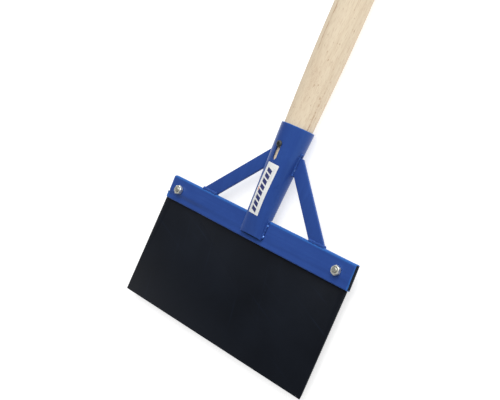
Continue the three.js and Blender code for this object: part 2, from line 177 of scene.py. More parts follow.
class StageSizes(bpy.types.PropertyGroup):
    """Camera, lights and floor."""
    eye: FloatVectorProperty(name="Camera place", description="Where the camera stands", size=3,
                             default=(0.7310, -0.5175, 0.8894), unit="LENGTH", subtype="TRANSLATION")
    aim: FloatVectorProperty(name="Camera aim", description="Where the camera points", size=3,
                             default=(-0.0220, -0.5269, 0.0208), unit="LENGTH", subtype="TRANSLATION")
    roll: FloatProperty(name="Camera roll", description="How far the camera is turned about its own axis",
                        default=math.radians(-66.83), unit="ROTATION", subtype="ANGLE")
    lens: FloatProperty(name="Lens", description="Focal length in millimetres", default=72.0, unit="CAMERA")
    shift_x: FloatProperty(name="Shift across", description="Lens shift across the frame", default=-0.027)
    shift_y: FloatProperty(name="Shift up", description="Lens shift up the frame", default=-0.070)
    floor_size: length("Floor size", "Side of the square floor", 12000.0)
    horizon: FloatProperty(name="Horizon", description="Brightness of the white backdrop all round", default=0.85)
    zenith: FloatProperty(name="Ceiling", description="Brightness of the room above", default=0.30)
    key: FloatProperty(name="Key light", description="Strength of the wide soft light from above", default=3.2)
    glow: FloatProperty(name="Floor glow", description="Light that the floor adds of its own", default=0.62)
    softness: FloatProperty(name="Softness", description="How wide the key light looks",
                            default=math.radians(70), unit="ROTATION", subtype="ANGLE")


def sizes():
    """The scene's property groups: bar, socket and small sizes, and colours."""
    scene = bpy.context.scene
    return scene.scraper_bar, scene.scraper_socket, scene.scraper_small, scene.scraper_colours


# ---- Meshes -------------------------------------------------------------------------------------------
def new_piece(name, points, faces, sharp=math.radians(35)):
    """A mesh object at the origin, with its faces pointing out and its sharp edges kept."""
    mesh = bpy.data.meshes.new(name)
    mesh.from_pydata([tuple(p) for p in points], [], faces)
    piece = bpy.data.objects.new(name, mesh)
    bpy.context.scene.collection.objects.link(piece)
    tidy_mesh(mesh)
    shade(mesh, sharp)
    return piece


def tidy_mesh(mesh):
    """Merges doubled points and turns all faces outwards."""
    work = bmesh.new()
    work.from_mesh(mesh)
    bmesh.ops.remove_doubles(work, verts=work.verts, dist=1e-7)
    bmesh.ops.recalc_face_normals(work, faces=work.faces)
    work.to_mesh(mesh)
    work.free()
    mesh.update()


def shade(mesh, sharp):
    """Smooth shading that keeps edges sharper than the given angle."""
    mesh.shade_smooth()
    mesh.set_sharp_from_angle(angle=sharp)


def settle(piece, sharp=math.radians(35)):
    """Replaces a piece's mesh by the result of its modifiers, and removes them."""
    graph = bpy.context.evaluated_depsgraph_get()
    made = bpy.data.meshes.new_from_object(piece.evaluated_get(graph))
    piece.modifiers.clear()
    piece.data = made
    shade(made, sharp)


def skin(rings, closed_ends=True):
    """Points and faces of a skin over closed rings with the same number of points."""
    count = len(rings[0])
    points = np.concatenate(rings)
    faces = []
    for i in range(len(rings) - 1):
        for j in range(count):
            k = (j + 1) % count
            faces.append((i * count + j, i * count + k, (i + 1) * count + k, (i + 1) * count + j))
    if closed_ends:
        last = (len(rings) - 1) * count
        faces.append(tuple(range(count)))
        faces.append(tuple(range(last, last + count)))
    return points, faces


def turned(profile, centre, segments=96, phase=0.0):
    """Rings about a vertical axis through centre, for a profile of radius and height."""
    turns = np.linspace(0, 2 * math.pi, segments, endpoint=False) + phase
    rings = []
    for radius, height in profile:
        ring = np.stack([centre.x + radius * np.cos(turns), centre.y + radius * np.sin(turns),
                         np.full(segments, height)], axis=1)
        rings.append(ring)
    return rings


def arc(radius, start, end, steps):
    """Sine and cosine pairs times a radius, from one angle to another."""
    return [(radius * math.sin(a), radius * math.cos(a)) for a in np.linspace(start, end, steps + 1)]


def subtract(piece, *cutters):
    """Cuts the cutters out of a piece and removes them."""
    for cutter in cutters:
        cut = piece.modifiers.new("cut", "BOOLEAN")
        cut.operation = "DIFFERENCE"
        cut.solver = "EXACT"
        cut.object = cutter
    settle(piece)
    for cutter in cutters:
        bpy.data.objects.remove(cutter)


def block(name, low, high):
    """A box between two corners, to cut with."""
    corners = [Vector((x, y, z)) for x in (low[0], high[0]) for y in (low[1], high[1]) for z in (low[2], high[2])]
    faces = [(0, 1, 3, 2), (4, 6, 7, 5), (0, 4, 5, 1), (2, 3, 7, 6), (0, 2, 6, 4), (1, 5, 7, 3)]
    return new_piece(name, corners, faces)


def rod(name, radius, low, high, centre):
    """An upright round bar, to cut with."""
    return new_piece(name, *skin(turned([(radius, low), (radius, high)], centre, 64)))


def refined_copy(node, name, edge, segments=2):
    """A copy of a CAD node with its flat faces made whole and its edges rounded."""
    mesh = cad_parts[node].data.copy()
    mesh.materials.clear()
    work = bmesh.new()
    work.from_mesh(mesh)
    bmesh.ops.remove_doubles(work, verts=work.verts, dist=1e-6)
    bmesh.ops.dissolve_limit(work, angle_limit=math.radians(0.4), verts=work.verts, edges=work.edges)
    work.to_mesh(mesh)
    work.free()
    piece = bpy.data.objects.new(name, mesh)
    bpy.context.scene.collection.objects.link(piece)
    rounding = piece.modifiers.new("rounding", "BEVEL")
    rounding.width = edge
    rounding.segments = segments
    rounding.limit_method = "ANGLE"
    rounding.angle_limit = math.radians(32)
    settle(piece)
    return piece


def hand_in(piece, material, slot, *nodes):
    """Gives a piece its material and its body, and hides the CAD nodes that it stands for; its slot argument is not
    used.
    """
    if material is not None:
        piece.data.materials.clear()
        piece.data.materials.append(material)
    if nodes:
        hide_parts(*nodes)
    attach(piece, "root")


def middle(node):
    """The middle of a CAD node's box."""
    low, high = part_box(node)
    return (low + high) / 2


# ---- Node trees ---------------------------------------------------------------------------------------
def add(tree, kind, inputs=None, **settings):
    """Adds a node, sets its settings, and sets or links its inputs."""
    node = tree.nodes.new(kind)
    for key, value in settings.items():
        setattr(node, key, value)
    for key, value in (inputs or {}).items():
        if isinstance(value, bpy.types.NodeSocket):
            tree.links.new(value, node.inputs[key])
        else:
            node.inputs[key].default_value = value
    return node


def new_group(name, inputs, outputs):
    """A shader node group with float or vector inputs and outputs."""
    tree = bpy.data.node_groups.new(name, "ShaderNodeTree")
    for label, kind, default in inputs:
        socket = tree.interface.new_socket(label, in_out="INPUT", socket_type=kind)
        if default is not None:
            socket.default_value = default
    for label, kind in outputs:
        tree.interface.new_socket(label, in_out="OUTPUT", socket_type=kind)
    return tree, tree.nodes.new("NodeGroupInput"), tree.nodes.new("NodeGroupOutput")


def group(name, build):
    """The node group of that name, built the first time that it is asked for."""
    return bpy.data.node_groups.get(name) or build(name)


def ramp(tree, value, stops):
    """A colour ramp through (position, brightness) stops, as its Color output."""
    node = add(tree, "ShaderNodeValToRGB", {"Fac": value})
    elements = node.color_ramp.elements
    while len(elements) < len(stops):
        elements.new(0.5)
    for element, (position, level) in zip(elements, stops):
        element.position = position
        element.color = (level, level, level, 1.0)
    return node.outputs["Color"]


def mottle_group(name):
    """Soft patches and fine grain: masks for uneven colour and roughness, and a height for a pitted skin."""
    tree, source, sink = new_group(name, [
        ("Vector", "NodeSocketVector", None), ("Patch Scale", "NodeSocketFloat", 30.0),
        ("Grain Scale", "NodeSocketFloat", 600.0), ("Contrast", "NodeSocketFloat", 1.0)],
        [("Patches", "NodeSocketFloat"), ("Grain", "NodeSocketFloat")])
    patches = add(tree, "ShaderNodeTexNoise", {
        "Vector": source.outputs["Vector"], "Scale": source.outputs["Patch Scale"], "Detail": 5.0,
        "Roughness": 0.6})
    centred = add(tree, "ShaderNodeMath", {0: patches.outputs["Fac"], 1: 0.5}, operation="SUBTRACT")
    spread = add(tree, "ShaderNodeMath", {
        0: centred.outputs[0], 1: source.outputs["Contrast"], 2: 0.5}, operation="MULTIPLY_ADD", use_clamp=True)
    grain = add(tree, "ShaderNodeTexNoise", {
        "Vector": source.outputs["Vector"], "Scale": source.outputs["Grain Scale"], "Detail": 3.0,
        "Roughness": 0.5})
    tree.links.new(spread.outputs[0], sink.inputs["Patches"])
    tree.links.new(grain.outputs["Fac"], sink.inputs["Grain"])
    return tree


def scratch_group(name):
    """Thin straight scratches in two directions, as a mask."""
    tree, source, sink = new_group(name, [
        ("Vector", "NodeSocketVector", None), ("Scale", "NodeSocketFloat", 60.0),
        ("Stretch", "NodeSocketFloat", 0.02), ("Amount", "NodeSocketFloat", 0.3)],
        [("Scratches", "NodeSocketFloat")])
    layers = []
    for turn in (0.35, 1.35):
        turned_vector = add(tree, "ShaderNodeVectorRotate", {
            "Vector": source.outputs["Vector"], "Angle": turn}, rotation_type="Z_AXIS")
        stretch = add(tree, "ShaderNodeCombineXYZ", {
            "X": source.outputs["Stretch"], "Y": 1.0, "Z": 1.0})
        squeezed = add(tree, "ShaderNodeVectorMath", {
            0: turned_vector.outputs[0], 1: stretch.outputs[0]}, operation="MULTIPLY")
        noise = add(tree, "ShaderNodeTexNoise", {
            "Vector": squeezed.outputs[0], "Scale": source.outputs["Scale"], "Detail": 2.0, "Roughness": 0.7})
        layers.append(ramp(tree, noise.outputs["Fac"], [(0.0, 0.0), (0.66, 0.0), (0.74, 1.0)]))
    both = add(tree, "ShaderNodeMath", {0: layers[0], 1: layers[1]}, operation="MAXIMUM")
    scaled = add(tree, "ShaderNodeMath", {
        0: both.outputs[0], 1: source.outputs["Amount"]}, operation="MULTIPLY", use_clamp=True)
    tree.links.new(scaled.outputs[0], sink.inputs["Scratches"])
    return tree


def new_material(name):
    """A material with its tree, its Principled shader and its Object coordinates."""
    material = bpy.data.materials.new(name)
    material.use_nodes = True
    tree = material.node_tree
    shader = tree.nodes["Principled BSDF"]
    place = tree.nodes.new("ShaderNodeTexCoord").outputs["Object"]
    return material, tree, shader, place


def use_group(tree, name, build, inputs):
    """A node that shows one of the shared groups."""
    return add(tree, "ShaderNodeGroup", None, node_tree=group(name, build)) if inputs is None else \
        linked_group(tree, group(name, build), inputs)


def linked_group(tree, shared, inputs):
    """A group node with its inputs set or linked."""
    node = tree.nodes.new("ShaderNodeGroup")
    node.node_tree = shared
    for key, value in inputs.items():
        if isinstance(value, bpy.types.NodeSocket):
            tree.links.new(value, node.inputs[key])
        else:
            node.inputs[key].default_value = value
    return node


def blend_colours(tree, factor, first, second):
    """A mix of two colours or colour sockets, as its Result output."""
    node = tree.nodes.new("ShaderNodeMix")
    node.data_type = "RGBA"
    tree.links.new(factor, node.inputs["Factor"])
    for key, value in ((6, first), (7, second)):
        if isinstance(value, bpy.types.NodeSocket):
            tree.links.new(value, node.inputs[key])
        else:
            node.inputs[key].default_value = (*value, 1.0)
    return node.outputs[2]


def bumped(tree, shader, height, strength, distance):
    """Feeds a height into the shader's normal."""
    bump = add(tree, "ShaderNodeBump", {"Height": height, "Strength": strength, "Distance": distance})
    tree.links.new(bump.outputs["Normal"], shader.inputs["Normal"])
    return bump


def mapped(tree, value, low, high):
    """A mask stretched to run from low to high."""
    node = add(tree, "ShaderNodeMapRange", {"Value": value, "To Min": low, "To Max": high})
    return node.outputs["Result"]


# ---- Materials ----------------------------------------------------------------------------------------
def highlight_mask(tree, place, edges):
    """Painted highlight along rounded edges: a mask that rises from start to end along each edge's axis."""
    parts = add(tree, "ShaderNodeSeparateXYZ", {0: place})
    mask = None
    for axis, start, end in edges:
        one = add(tree, "ShaderNodeMapRange", {"Value": parts.outputs[axis], "From Min": start, "From Max": end})
        result = one.outputs["Result"]
        if mask is not None:
            result = add(tree, "ShaderNodeMath", {0: mask, 1: result}, operation="MAXIMUM").outputs[0]
        mask = result
    return mapped(tree, mask, 0.0, 0.6)


def paint_material(name, grain_scale, edges):
    """Glossy blue enamel: an orange-peel skin, an uneven film, the marks of the metal underneath, and a painted
    highlight along the given edges.
    """
    colours = sizes()[3]
    material, tree, shader, place = new_material(name)
    skin_marks = use_group(tree, "mottle", mottle_group, {
        "Vector": place, "Patch Scale": 26.0, "Grain Scale": 420.0, "Contrast": 2.2})
    drawn = add(tree, "ShaderNodeMapping", {"Vector": place, "Scale": grain_scale})
    drawn_marks = use_group(tree, "mottle", mottle_group, {
        "Vector": drawn.outputs[0], "Patch Scale": 1.0, "Grain Scale": 3.0, "Contrast": 2.6})
    both = add(tree, "ShaderNodeMath", {
        0: skin_marks.outputs["Patches"], 1: drawn_marks.outputs["Patches"], 2: 0.0}, operation="MULTIPLY_ADD")
    tone = blend_colours(tree, both.outputs[0], colours.paint, colours.paint_light)
    # Painted highlight: the edges' mask lightens the enamel towards the lighter blue.
    tone = blend_colours(tree, highlight_mask(tree, place, edges), tone, colours.paint_highlight)
    tree.links.new(tone, shader.inputs["Base Color"])
    tree.links.new(mapped(tree, skin_marks.outputs["Patches"], 0.26, 0.40), shader.inputs["Roughness"])
    rough = add(tree, "ShaderNodeMath", {
        0: drawn_marks.outputs["Patches"], 1: 0.6, 2: skin_marks.outputs["Grain"]}, operation="MULTIPLY_ADD")
    bumped(tree, shader, rough.outputs[0], 0.13, 0.0006)
    shader.inputs["Specular Tint"].default_value = (0.22, 0.62, 1.0, 1.0)
    shader.inputs["Specular IOR Level"].default_value = 0.24
    shader.inputs["Sheen Weight"].default_value = 0.10
    shader.inputs["Sheen Roughness"].default_value = 0.25
    shader.inputs["Sheen Tint"].default_value = (0.10, 0.50, 1.0, 1.0)
    shader.inputs["Coat Weight"].default_value = 0.05
    shader.inputs["Coat Roughness"].default_value = 0.15
    return material


def patch_mask(tree, place, low, high, blur):
    """A soft-edged rectangle in x and y."""
    parts = add(tree, "ShaderNodeSeparateXYZ", {0: place})
    mask = None
    for axis, start, end in (("X", low[0], low[0] + blur), ("X", high[0], high[0] - blur),
                             ("Y", low[1], low[1] + blur), ("Y", high[1], high[1] - blur)):
        side = add(tree, "ShaderNodeMapRange", {"Value": parts.outputs[axis], "From Min": start, "From Max": end})
        result = side.outputs["Result"]
        if mask is not None:
            result = add(tree, "ShaderNodeMath", {0: mask, 1: result}, operation="MULTIPLY").outputs[0]
        mask = result
    return mask


def bar_enamel():
    """The enamel on the clamp bar: drawn along its length, with the dark steel colour painted as shade on its face
    under and just before the socket's pressed end.
    """
    lower = bar_low.y + sizes()[1].setback
    material = enamel_on_bar()
    tree = material.node_tree
    shader = tree.nodes["Principled BSDF"]
    place = tree.nodes["Texture Coordinate"].outputs["Object"]
    # Painted shade: a soft rectangle of the blade's dark steel colour under the socket's pressed end and 1.4 mm before
    # it, where the dark slit lies.
    slit_shade_patch = patch_mask(tree, place, (AXIS_X - 13.5 * MM, lower - 1.4 * MM), (AXIS_X + 11.5 * MM, bar_high.y - 4 * MM),
                        0.5 * MM)
    covered = shader.inputs["Base Color"].links[0].from_socket
    tree.links.new(blend_colours(tree, slit_shade_patch, covered, sizes()[3].steel), shader.inputs["Base Color"])
    return material


def enamel_on_bar():
    """The bar's enamel with its painted edge highlights, before the painted shade under the socket's end is laid on.
    """
    return paint_material("bar_enamel", (14.0, 420.0, 420.0), (
        ("Y", bar_high.y - 3.2 * MM, bar_high.y - 2.2 * MM),
        ("X", bar_high.x - 2.9 * MM, bar_high.x - 2.1 * MM),
        ("X", bar_low.x + 4.2 * MM, bar_low.x + 2.8 * MM)))


def tube_enamel():
    """The enamel on the socket, the braces and the welds, with a painted highlight along the socket's mouth rim."""
    return paint_material("tube_enamel", (160.0, 24.0, 160.0), (
        ("Y", socket_high.y - 1.2 * MM, socket_high.y - 0.5 * MM),))


def drop_paint_with_painted_glint():
    """Glossy enamel on the weld's drops, with a much lighter base colour as a painted glint."""
    colours = sizes()[3]
    material, tree, shader, place = new_material("drop_paint_with_painted_glint")
    marks = use_group(tree, "mottle", mottle_group, {
        "Vector": place, "Patch Scale": 400.0, "Grain Scale": 1500.0, "Contrast": 2.0})
    # Painted glint: the drops' base colour is lifted far above the paint's own blue.
    lighter = tuple(min(1.0, 2.2 * c + 0.08) for c in colours.paint_highlight)
    tree.links.new(blend_colours(tree, marks.outputs["Patches"], colours.paint_highlight, lighter),
                   shader.inputs["Base Color"])
    tree.links.new(mapped(tree, marks.outputs["Patches"], 0.10, 0.22), shader.inputs["Roughness"])
    bumped(tree, shader, marks.outputs["Grain"], 0.1, 0.0002)
    shader.inputs["Coat Weight"].default_value = 1.0
    shader.inputs["Coat Roughness"].default_value = 0.06
    return material


def unpainted_and_shaded_material():
    """Dark steel: painted shade on the bar's sheared ends, and inside the socket both painted shade and steel that the
    enamel does not reach.
    """
    colours = sizes()[3]
    material, tree, shader, place = new_material("unpainted_and_shaded_steel")
    marks = use_group(tree, "mottle", mottle_group, {
        "Vector": place, "Patch Scale": 150.0, "Grain Scale": 1800.0, "Contrast": 2.0})
    lighter = tuple(3.0 * c for c in colours.steel)
    tree.links.new(blend_colours(tree, marks.outputs["Patches"], colours.steel, lighter),
                   shader.inputs["Base Color"])
    tree.links.new(mapped(tree, marks.outputs["Patches"], 0.55, 0.75), shader.inputs["Roughness"])
    bumped(tree, shader, marks.outputs["Grain"], 0.3, 0.0002)
    shader.inputs["Specular IOR Level"].default_value = 0.1
    return material


def steel_material():
    """Dark hardened and oiled steel sheet with faint rolling marks and scratches."""
    colours = sizes()[3]
    material, tree, shader, place = new_material("dark_steel")
    marks = use_group(tree, "mottle", mottle_group, {
        "Vector": place, "Patch Scale": 9.0, "Grain Scale": 900.0, "Contrast": 2.4})
    scratches = use_group(tree, "scratches", scratch_group, {
        "Vector": place, "Scale": 260.0, "Stretch": 0.03, "Amount": 0.25})
    lighter = tuple(1.9 * c for c in colours.steel)
    tone = blend_colours(tree, marks.outputs["Patches"], colours.steel, lighter)
    worn = blend_colours(tree, scratches.outputs["Scratches"], tone, tuple(6 * c for c in colours.steel))
    tree.links.new(worn, shader.inputs["Base Color"])
    tree.links.new(mapped(tree, marks.outputs["Patches"], 0.34, 0.52), shader.inputs["Roughness"])
    bumped(tree, shader, marks.outputs["Grain"], 0.10, 0.0003)
    shader.inputs["Specular IOR Level"].default_value = 0.20
    return material


def ground_material():
    """Bright steel with the fine lines of a grinding wheel, across the cutting edge."""
    colours = sizes()[3]
    material, tree, shader, place = new_material("ground_steel")
    stretched = add(tree, "ShaderNodeMapping", {"Vector": place, "Scale": (1.0, 0.02, 0.02)})
    lines = add(tree, "ShaderNodeTexNoise", {
        "Vector": stretched.outputs[0], "Scale": 3000.0, "Detail": 2.0, "Roughness": 0.6})
    darker = tuple(0.6 * c for c in colours.ground)
    tree.links.new(blend_colours(tree, lines.outputs["Fac"], darker, colours.ground), shader.inputs["Base Color"])
    tree.links.new(mapped(tree, lines.outputs["Fac"], 0.25, 0.45), shader.inputs["Roughness"])
    bumped(tree, shader, lines.outputs["Fac"], 0.2, 0.0002)
    shader.inputs["Metallic"].default_value = 1.0
    return material


def zinc_material():
    """Bright zinc plating with a warm tinge, for the nuts."""
    return plating("zinc_plating", 1.55, 0.75)


def bolt_material():
    """The same plating, greyer and duller where the thread was rolled."""
    return plating("worn_plating", 0.85, 0.7)


def plating(name, brightness, metallic):
    """Zinc plating, cloudy and finely pitted."""
    colours = sizes()[3]
    material, tree, shader, place = new_material(name)
    marks = use_group(tree, "mottle", mottle_group, {
        "Vector": place, "Patch Scale": 260.0, "Grain Scale": 2600.0, "Contrast": 2.0})
    bright = tuple(brightness * c for c in colours.zinc)
    dull = tuple(0.62 * c for c in bright)
    tree.links.new(blend_colours(tree, marks.outputs["Patches"], dull, bright), shader.inputs["Base Color"])
    tree.links.new(mapped(tree, marks.outputs["Patches"], 0.28, 0.45), shader.inputs["Roughness"])
    bumped(tree, shader, marks.outputs["Grain"], 0.15, 0.0002)
    shader.inputs["Metallic"].default_value = metallic
    return material


def oxide_material():
    """Blackened steel of the handle's screw, worn a little."""
    colours = sizes()[3]
    material, tree, shader, place = new_material("black_oxide")
    marks = use_group(tree, "mottle", mottle_group, {
        "Vector": place, "Patch Scale": 400.0, "Grain Scale": 3000.0, "Contrast": 2.0})
    worn = tuple(2.5 * c for c in colours.oxide)
    tree.links.new(blend_colours(tree, marks.outputs["Patches"], colours.oxide, worn), shader.inputs["Base Color"])
    tree.links.new(mapped(tree, marks.outputs["Patches"], 0.35, 0.55), shader.inputs["Roughness"])
    bumped(tree, shader, marks.outputs["Grain"], 0.15, 0.0002)
    shader.inputs["Metallic"].default_value = 0.3
    return material


def vein_mask(tree, centred, angle, width, start, end, beat):
    """A dotted brown vein along the handle: a narrow band of angles about its axis, broken along its length."""
    parts = add(tree, "ShaderNodeSeparateXYZ", {0: centred})
    around = add(tree, "ShaderNodeMath", {0: parts.outputs["X"], 1: parts.outputs["Z"]}, operation="ARCTAN2")
    wobble_place = add(tree, "ShaderNodeMapping", {"Vector": centred, "Scale": (0.0, 60.0, 0.0)})
    wobble = add(tree, "ShaderNodeTexNoise", {"Vector": wobble_place.outputs[0], "Scale": 1.0, "Detail": 2.0})
    bent = add(tree, "ShaderNodeMath", {
        0: wobble.outputs["Fac"], 1: 0.22, 2: around.outputs[0]}, operation="MULTIPLY_ADD")
    off = add(tree, "ShaderNodeMath", {0: bent.outputs[0], 1: angle + 0.11}, operation="SUBTRACT")
    away = add(tree, "ShaderNodeMath", {0: off.outputs[0]}, operation="ABSOLUTE")
    line = add(tree, "ShaderNodeMapRange", {
        "Value": away.outputs[0], "From Min": 0.0, "From Max": width, "To Min": 1.0, "To Max": 0.0})
    begins = add(tree, "ShaderNodeMapRange", {
        "Value": parts.outputs["Y"], "From Min": start, "From Max": start + 0.03, "To Min": 0.0, "To Max": 1.0})
    stops = add(tree, "ShaderNodeMapRange", {
        "Value": parts.outputs["Y"], "From Min": end - 0.05, "From Max": end, "To Min": 1.0, "To Max": 0.0})
    dot_place = add(tree, "ShaderNodeMapping", {"Vector": centred, "Scale": (200.0, beat, 200.0)})
    dots = add(tree, "ShaderNodeTexNoise", {"Vector": dot_place.outputs[0], "Scale": 1.0, "Detail": 2.0})
    broken = ramp(tree, dots.outputs["Fac"], [(0.0, 0.15), (0.42, 0.25), (0.58, 1.0)])
    mask = line.outputs["Result"]
    for factor in (begins.outputs["Result"], stops.outputs["Result"], broken):
        mask = add(tree, "ShaderNodeMath", {0: mask, 1: factor}, operation="MULTIPLY").outputs[0]
    return mask


def wood_material():
    """Sanded beech: growth rings about a pith outside the handle, pores, flecks, curls and two brown veins."""
    colours = sizes()[3]
    material, tree, shader, place = new_material("sanded_beech")
    centred = add(tree, "ShaderNodeMapping", {
        "Vector": place, "Location": (-AXIS_X, -socket_high.y, -AXIS_Z)}).outputs[0]

    def streaks(vector_scale, detail, stops, distortion=0.0):
        squeezed = add(tree, "ShaderNodeMapping", {"Vector": centred, "Scale": vector_scale})
        noise = add(tree, "ShaderNodeTexNoise", {
            "Vector": squeezed.outputs[0], "Scale": 1.0, "Detail": detail, "Roughness": 0.55,
            "Distortion": distortion})
        return ramp(tree, noise.outputs["Fac"], stops)

    wander = add(tree, "ShaderNodeMapping", {"Vector": centred, "Scale": (9.0, 2.2, 9.0)})
    drift = add(tree, "ShaderNodeTexNoise", {"Vector": wander.outputs[0], "Scale": 1.0, "Detail": 3.0})
    pith = add(tree, "ShaderNodeMapping", {
        "Vector": centred, "Location": (0.018, 0.0, 0.052), "Scale": (1.0, 0.0, 1.0)})
    radius = add(tree, "ShaderNodeVectorMath", {0: pith.outputs[0]}, operation="LENGTH")
    rings = add(tree, "ShaderNodeMath", {
        0: drift.outputs["Fac"], 1: 0.020, 2: radius.outputs["Value"]}, operation="MULTIPLY_ADD")
    spaced = add(tree, "ShaderNodeMath", {0: rings.outputs[0], 1: 0.0052}, operation="DIVIDE")
    saw = add(tree, "ShaderNodeMath", {0: spaced.outputs[0]}, operation="FRACT")
    ring_lines = ramp(tree, saw.outputs[0], [(0.0, 0.55), (0.10, 0.0), (0.72, 0.05), (0.97, 0.75)])
    pores = streaks((1300.0, 110.0, 1300.0), 2.0, [(0.0, 0.0), (0.50, 0.0), (0.64, 1.0)])
    broad = streaks((60.0, 3.0, 60.0), 4.0, [(0.0, 0.0), (0.40, 0.0), (0.72, 1.0)])
    flecks = streaks((480.0, 190.0, 480.0), 1.0, [(0.0, 0.0), (0.69, 0.0), (0.73, 1.0)])
    curl_lines = streaks((150.0, 90.0, 150.0), 1.0, [(0.0, 0.0), (0.485, 0.0), (0.50, 1.0), (0.515, 0.0)], 2.5)
    curl_spots = streaks((38.0, 24.0, 38.0), 0.0, [(0.0, 0.0), (0.63, 0.0), (0.69, 1.0)])
    curls = add(tree, "ShaderNodeMath", {0: curl_lines, 1: curl_spots}, operation="MULTIPLY").outputs[0]
    right_vein = vein_mask(tree, centred, math.radians(76), 0.075, -0.10, 0.07, 420.0)
    left_vein = vein_mask(tree, centred, math.radians(-12), 0.060, 0.06, 0.60, 90.0)
    veins = add(tree, "ShaderNodeMath", {0: right_vein, 1: left_vein}, operation="MAXIMUM").outputs[0]

    tone = blend_colours(tree, mapped(tree, broad, 0.0, 0.30), colours.wood, colours.wood_dark)
    tone = blend_colours(tree, mapped(tree, ring_lines, 0.0, 0.30), tone, colours.wood_dark)
    tone = blend_colours(tree, mapped(tree, pores, 0.0, 0.42), tone, colours.wood_dark)
    for mask, strength in ((flecks, 0.5), (curls, 0.45), (veins, 0.8)):
        tone = blend_colours(tree, mapped(tree, mask, 0.0, strength), tone, colours.fleck)
    tree.links.new(tone, shader.inputs["Base Color"])
    tree.links.new(mapped(tree, pores, 0.52, 0.68), shader.inputs["Roughness"])
    bumped(tree, shader, pores, -0.25, 0.0002)
    shader.inputs["Specular IOR Level"].default_value = 0.3
    return material


def label_material():
    """White film with generic bars and thin rules, on the label's own UV map."""
    colours = sizes()[3]
    material, tree, shader, place = new_material("label_film")
    across_along = add(tree, "ShaderNodeUVMap", uv_map="label")
    parts = add(tree, "ShaderNodeSeparateXYZ", {0: across_along.outputs["UV"]})

    def band(value, low, high):
        above = add(tree, "ShaderNodeMath", {0: value, 1: low}, operation="GREATER_THAN")
        below = add(tree, "ShaderNodeMath", {0: value, 1: high}, operation="LESS_THAN")
        both = add(tree, "ShaderNodeMath", {0: above.outputs[0], 1: below.outputs[0]}, operation="MULTIPLY")
        return both.outputs[0]

    def patch(left, right, bottom, top):
        across = band(parts.outputs["X"], left, right)
        along = band(parts.outputs["Y"], bottom, top)
        return add(tree, "ShaderNodeMath", {0: across, 1: along}, operation="MULTIPLY").outputs[0]

    def union(patches):
        total = patches[0]
        for one in patches[1:]:
            total = add(tree, "ShaderNodeMath", {0: total, 1: one}, operation="MAXIMUM").outputs[0]
        return total

    marks = use_group(tree, "mottle", mottle_group, {
        "Vector": place, "Patch Scale": 120.0, "Grain Scale": 1500.0, "Contrast": 1.2})
    greyer = tuple(0.86 * c for c in colours.film)
    paper = blend_colours(tree, marks.outputs["Patches"], greyer, colours.film)
    slanted = add(tree, "ShaderNodeMath", {0: parts.outputs["X"], 1: 0.10, 2: parts.outputs["Y"]},
                  operation="MULTIPLY_ADD").outputs[0]
    blocks = union([band(slanted, 0.10 + 0.108 * i, 0.178 + 0.108 * i) for i in range(8)])
    inside = band(parts.outputs["X"], 0.24, 0.70)
    bars = add(tree, "ShaderNodeMath", {0: blocks, 1: inside}, operation="MULTIPLY").outputs[0]
    rules = union([patch(0.74 + 0.06 * i, 0.755 + 0.06 * i, 0.66, 0.92) for i in range(3)])
    printed = blend_colours(tree, bars, paper, colours.ink)
    printed = blend_colours(tree, mapped(tree, rules, 0.0, 0.45), printed, colours.ink)
    printed = blend_colours(tree, patch(0.12, 0.20, 0.44, 0.50), printed, colours.accent)
    tree.links.new(printed, shader.inputs["Base Color"])
    tree.links.new(mapped(tree, marks.outputs["Patches"], 0.30, 0.42), shader.inputs["Roughness"])
    bumped(tree, shader, marks.outputs["Grain"], 0.08, 0.0001)
    return material


def floor_material():
    """Plain pale floor with a barely uneven tone."""
    colours = sizes()[3]
    material, tree, shader, place = new_material("pale_floor")
    marks = use_group(tree, "mottle", mottle_group, {
        "Vector": place, "Patch Scale": 1.5, "Grain Scale": 200.0, "Contrast": 1.0})
    greyer = tuple(0.97 * c for c in colours.floor)
    tree.links.new(blend_colours(tree, marks.outputs["Patches"], greyer, colours.floor), shader.inputs["Base Color"])
    shader.inputs["Roughness"].default_value = 0.8
    shader.inputs["Specular IOR Level"].default_value = 0.1
    shader.inputs["Emission Color"].default_value = (1.0, 1.0, 1.0, 1.0)
    shader.inputs["Emission Strength"].default_value = bpy.context.scene.scraper_stage.glow
    return material


def shared_material(build):
    """The material that build makes, made once and then found again by its maker's name."""
    made = bpy.data.materials.get(build.__name__)
    if made is None:
        made = build()
        made.name = build.__name__
    return made


# ---- Clamp bar ----------------------------------------------------------------------------------------
def edge_drop(distance, radius):
    """How far a rounded edge falls back at a distance inside the edge."""
    inside = np.clip(radius - distance, 0.0, radius)
    return radius - np.sqrt(np.maximum(radius ** 2 - inside ** 2, 0.0))


def smooth_step(value, low, high):
    """A smooth rise from 0 to 1 as value goes from low to high."""
    t = np.clip((value - low) / (high - low), 0.0, 1.0)
    return t * t * (3 - 2 * t)


def bar_heights(bar):
    """Heights across the bar, close together where its edges and its crease bend."""
    bottom, top = bar_low.y, bar_high.y
    quarter = np.linspace(0, math.pi / 2, 9)
    crease = bottom + bar.lip_height
    return np.unique(np.concatenate([
        bottom + bar.lip_radius * (1 - np.cos(quarter)),
        bottom + np.linspace(bar.lip_radius, bar.lip_height - bar.crease_width, 9),
        np.linspace(crease - bar.crease_width, crease + bar.crease_width, 25),
        np.linspace(crease + bar.crease_width, top - bar.front_radius, 12),
        top - bar.front_radius * (1 - np.sin(quarter)),
    ]).round(8))


def bar_ends(bar, y):
    """Left and right ends of the bar at the heights y."""
    bottom, top = bar_low.y, bar_high.y
    share = (top - y) / (top - bottom)
    corner = edge_drop(np.minimum(top - y, y - bottom), bar.right_corner)
    top_corner = edge_drop(top - y, bar.corner)
    left = bar_low.x + bar.lip_bulge - bar.slant
    bulge_middle = bottom + bar.lip_height / 2
    across = np.clip((y - bulge_middle) / (bar.lip_height / 2), -1.0, 1.0)
    bulge = bar.lip_bulge * (1 - np.abs(across) ** 5) ** 0.2
    return left + bar.slant * share + top_corner - bulge, bar_high.x - bar.slant / 2 - bar.right_slant * (1 - share) - corner


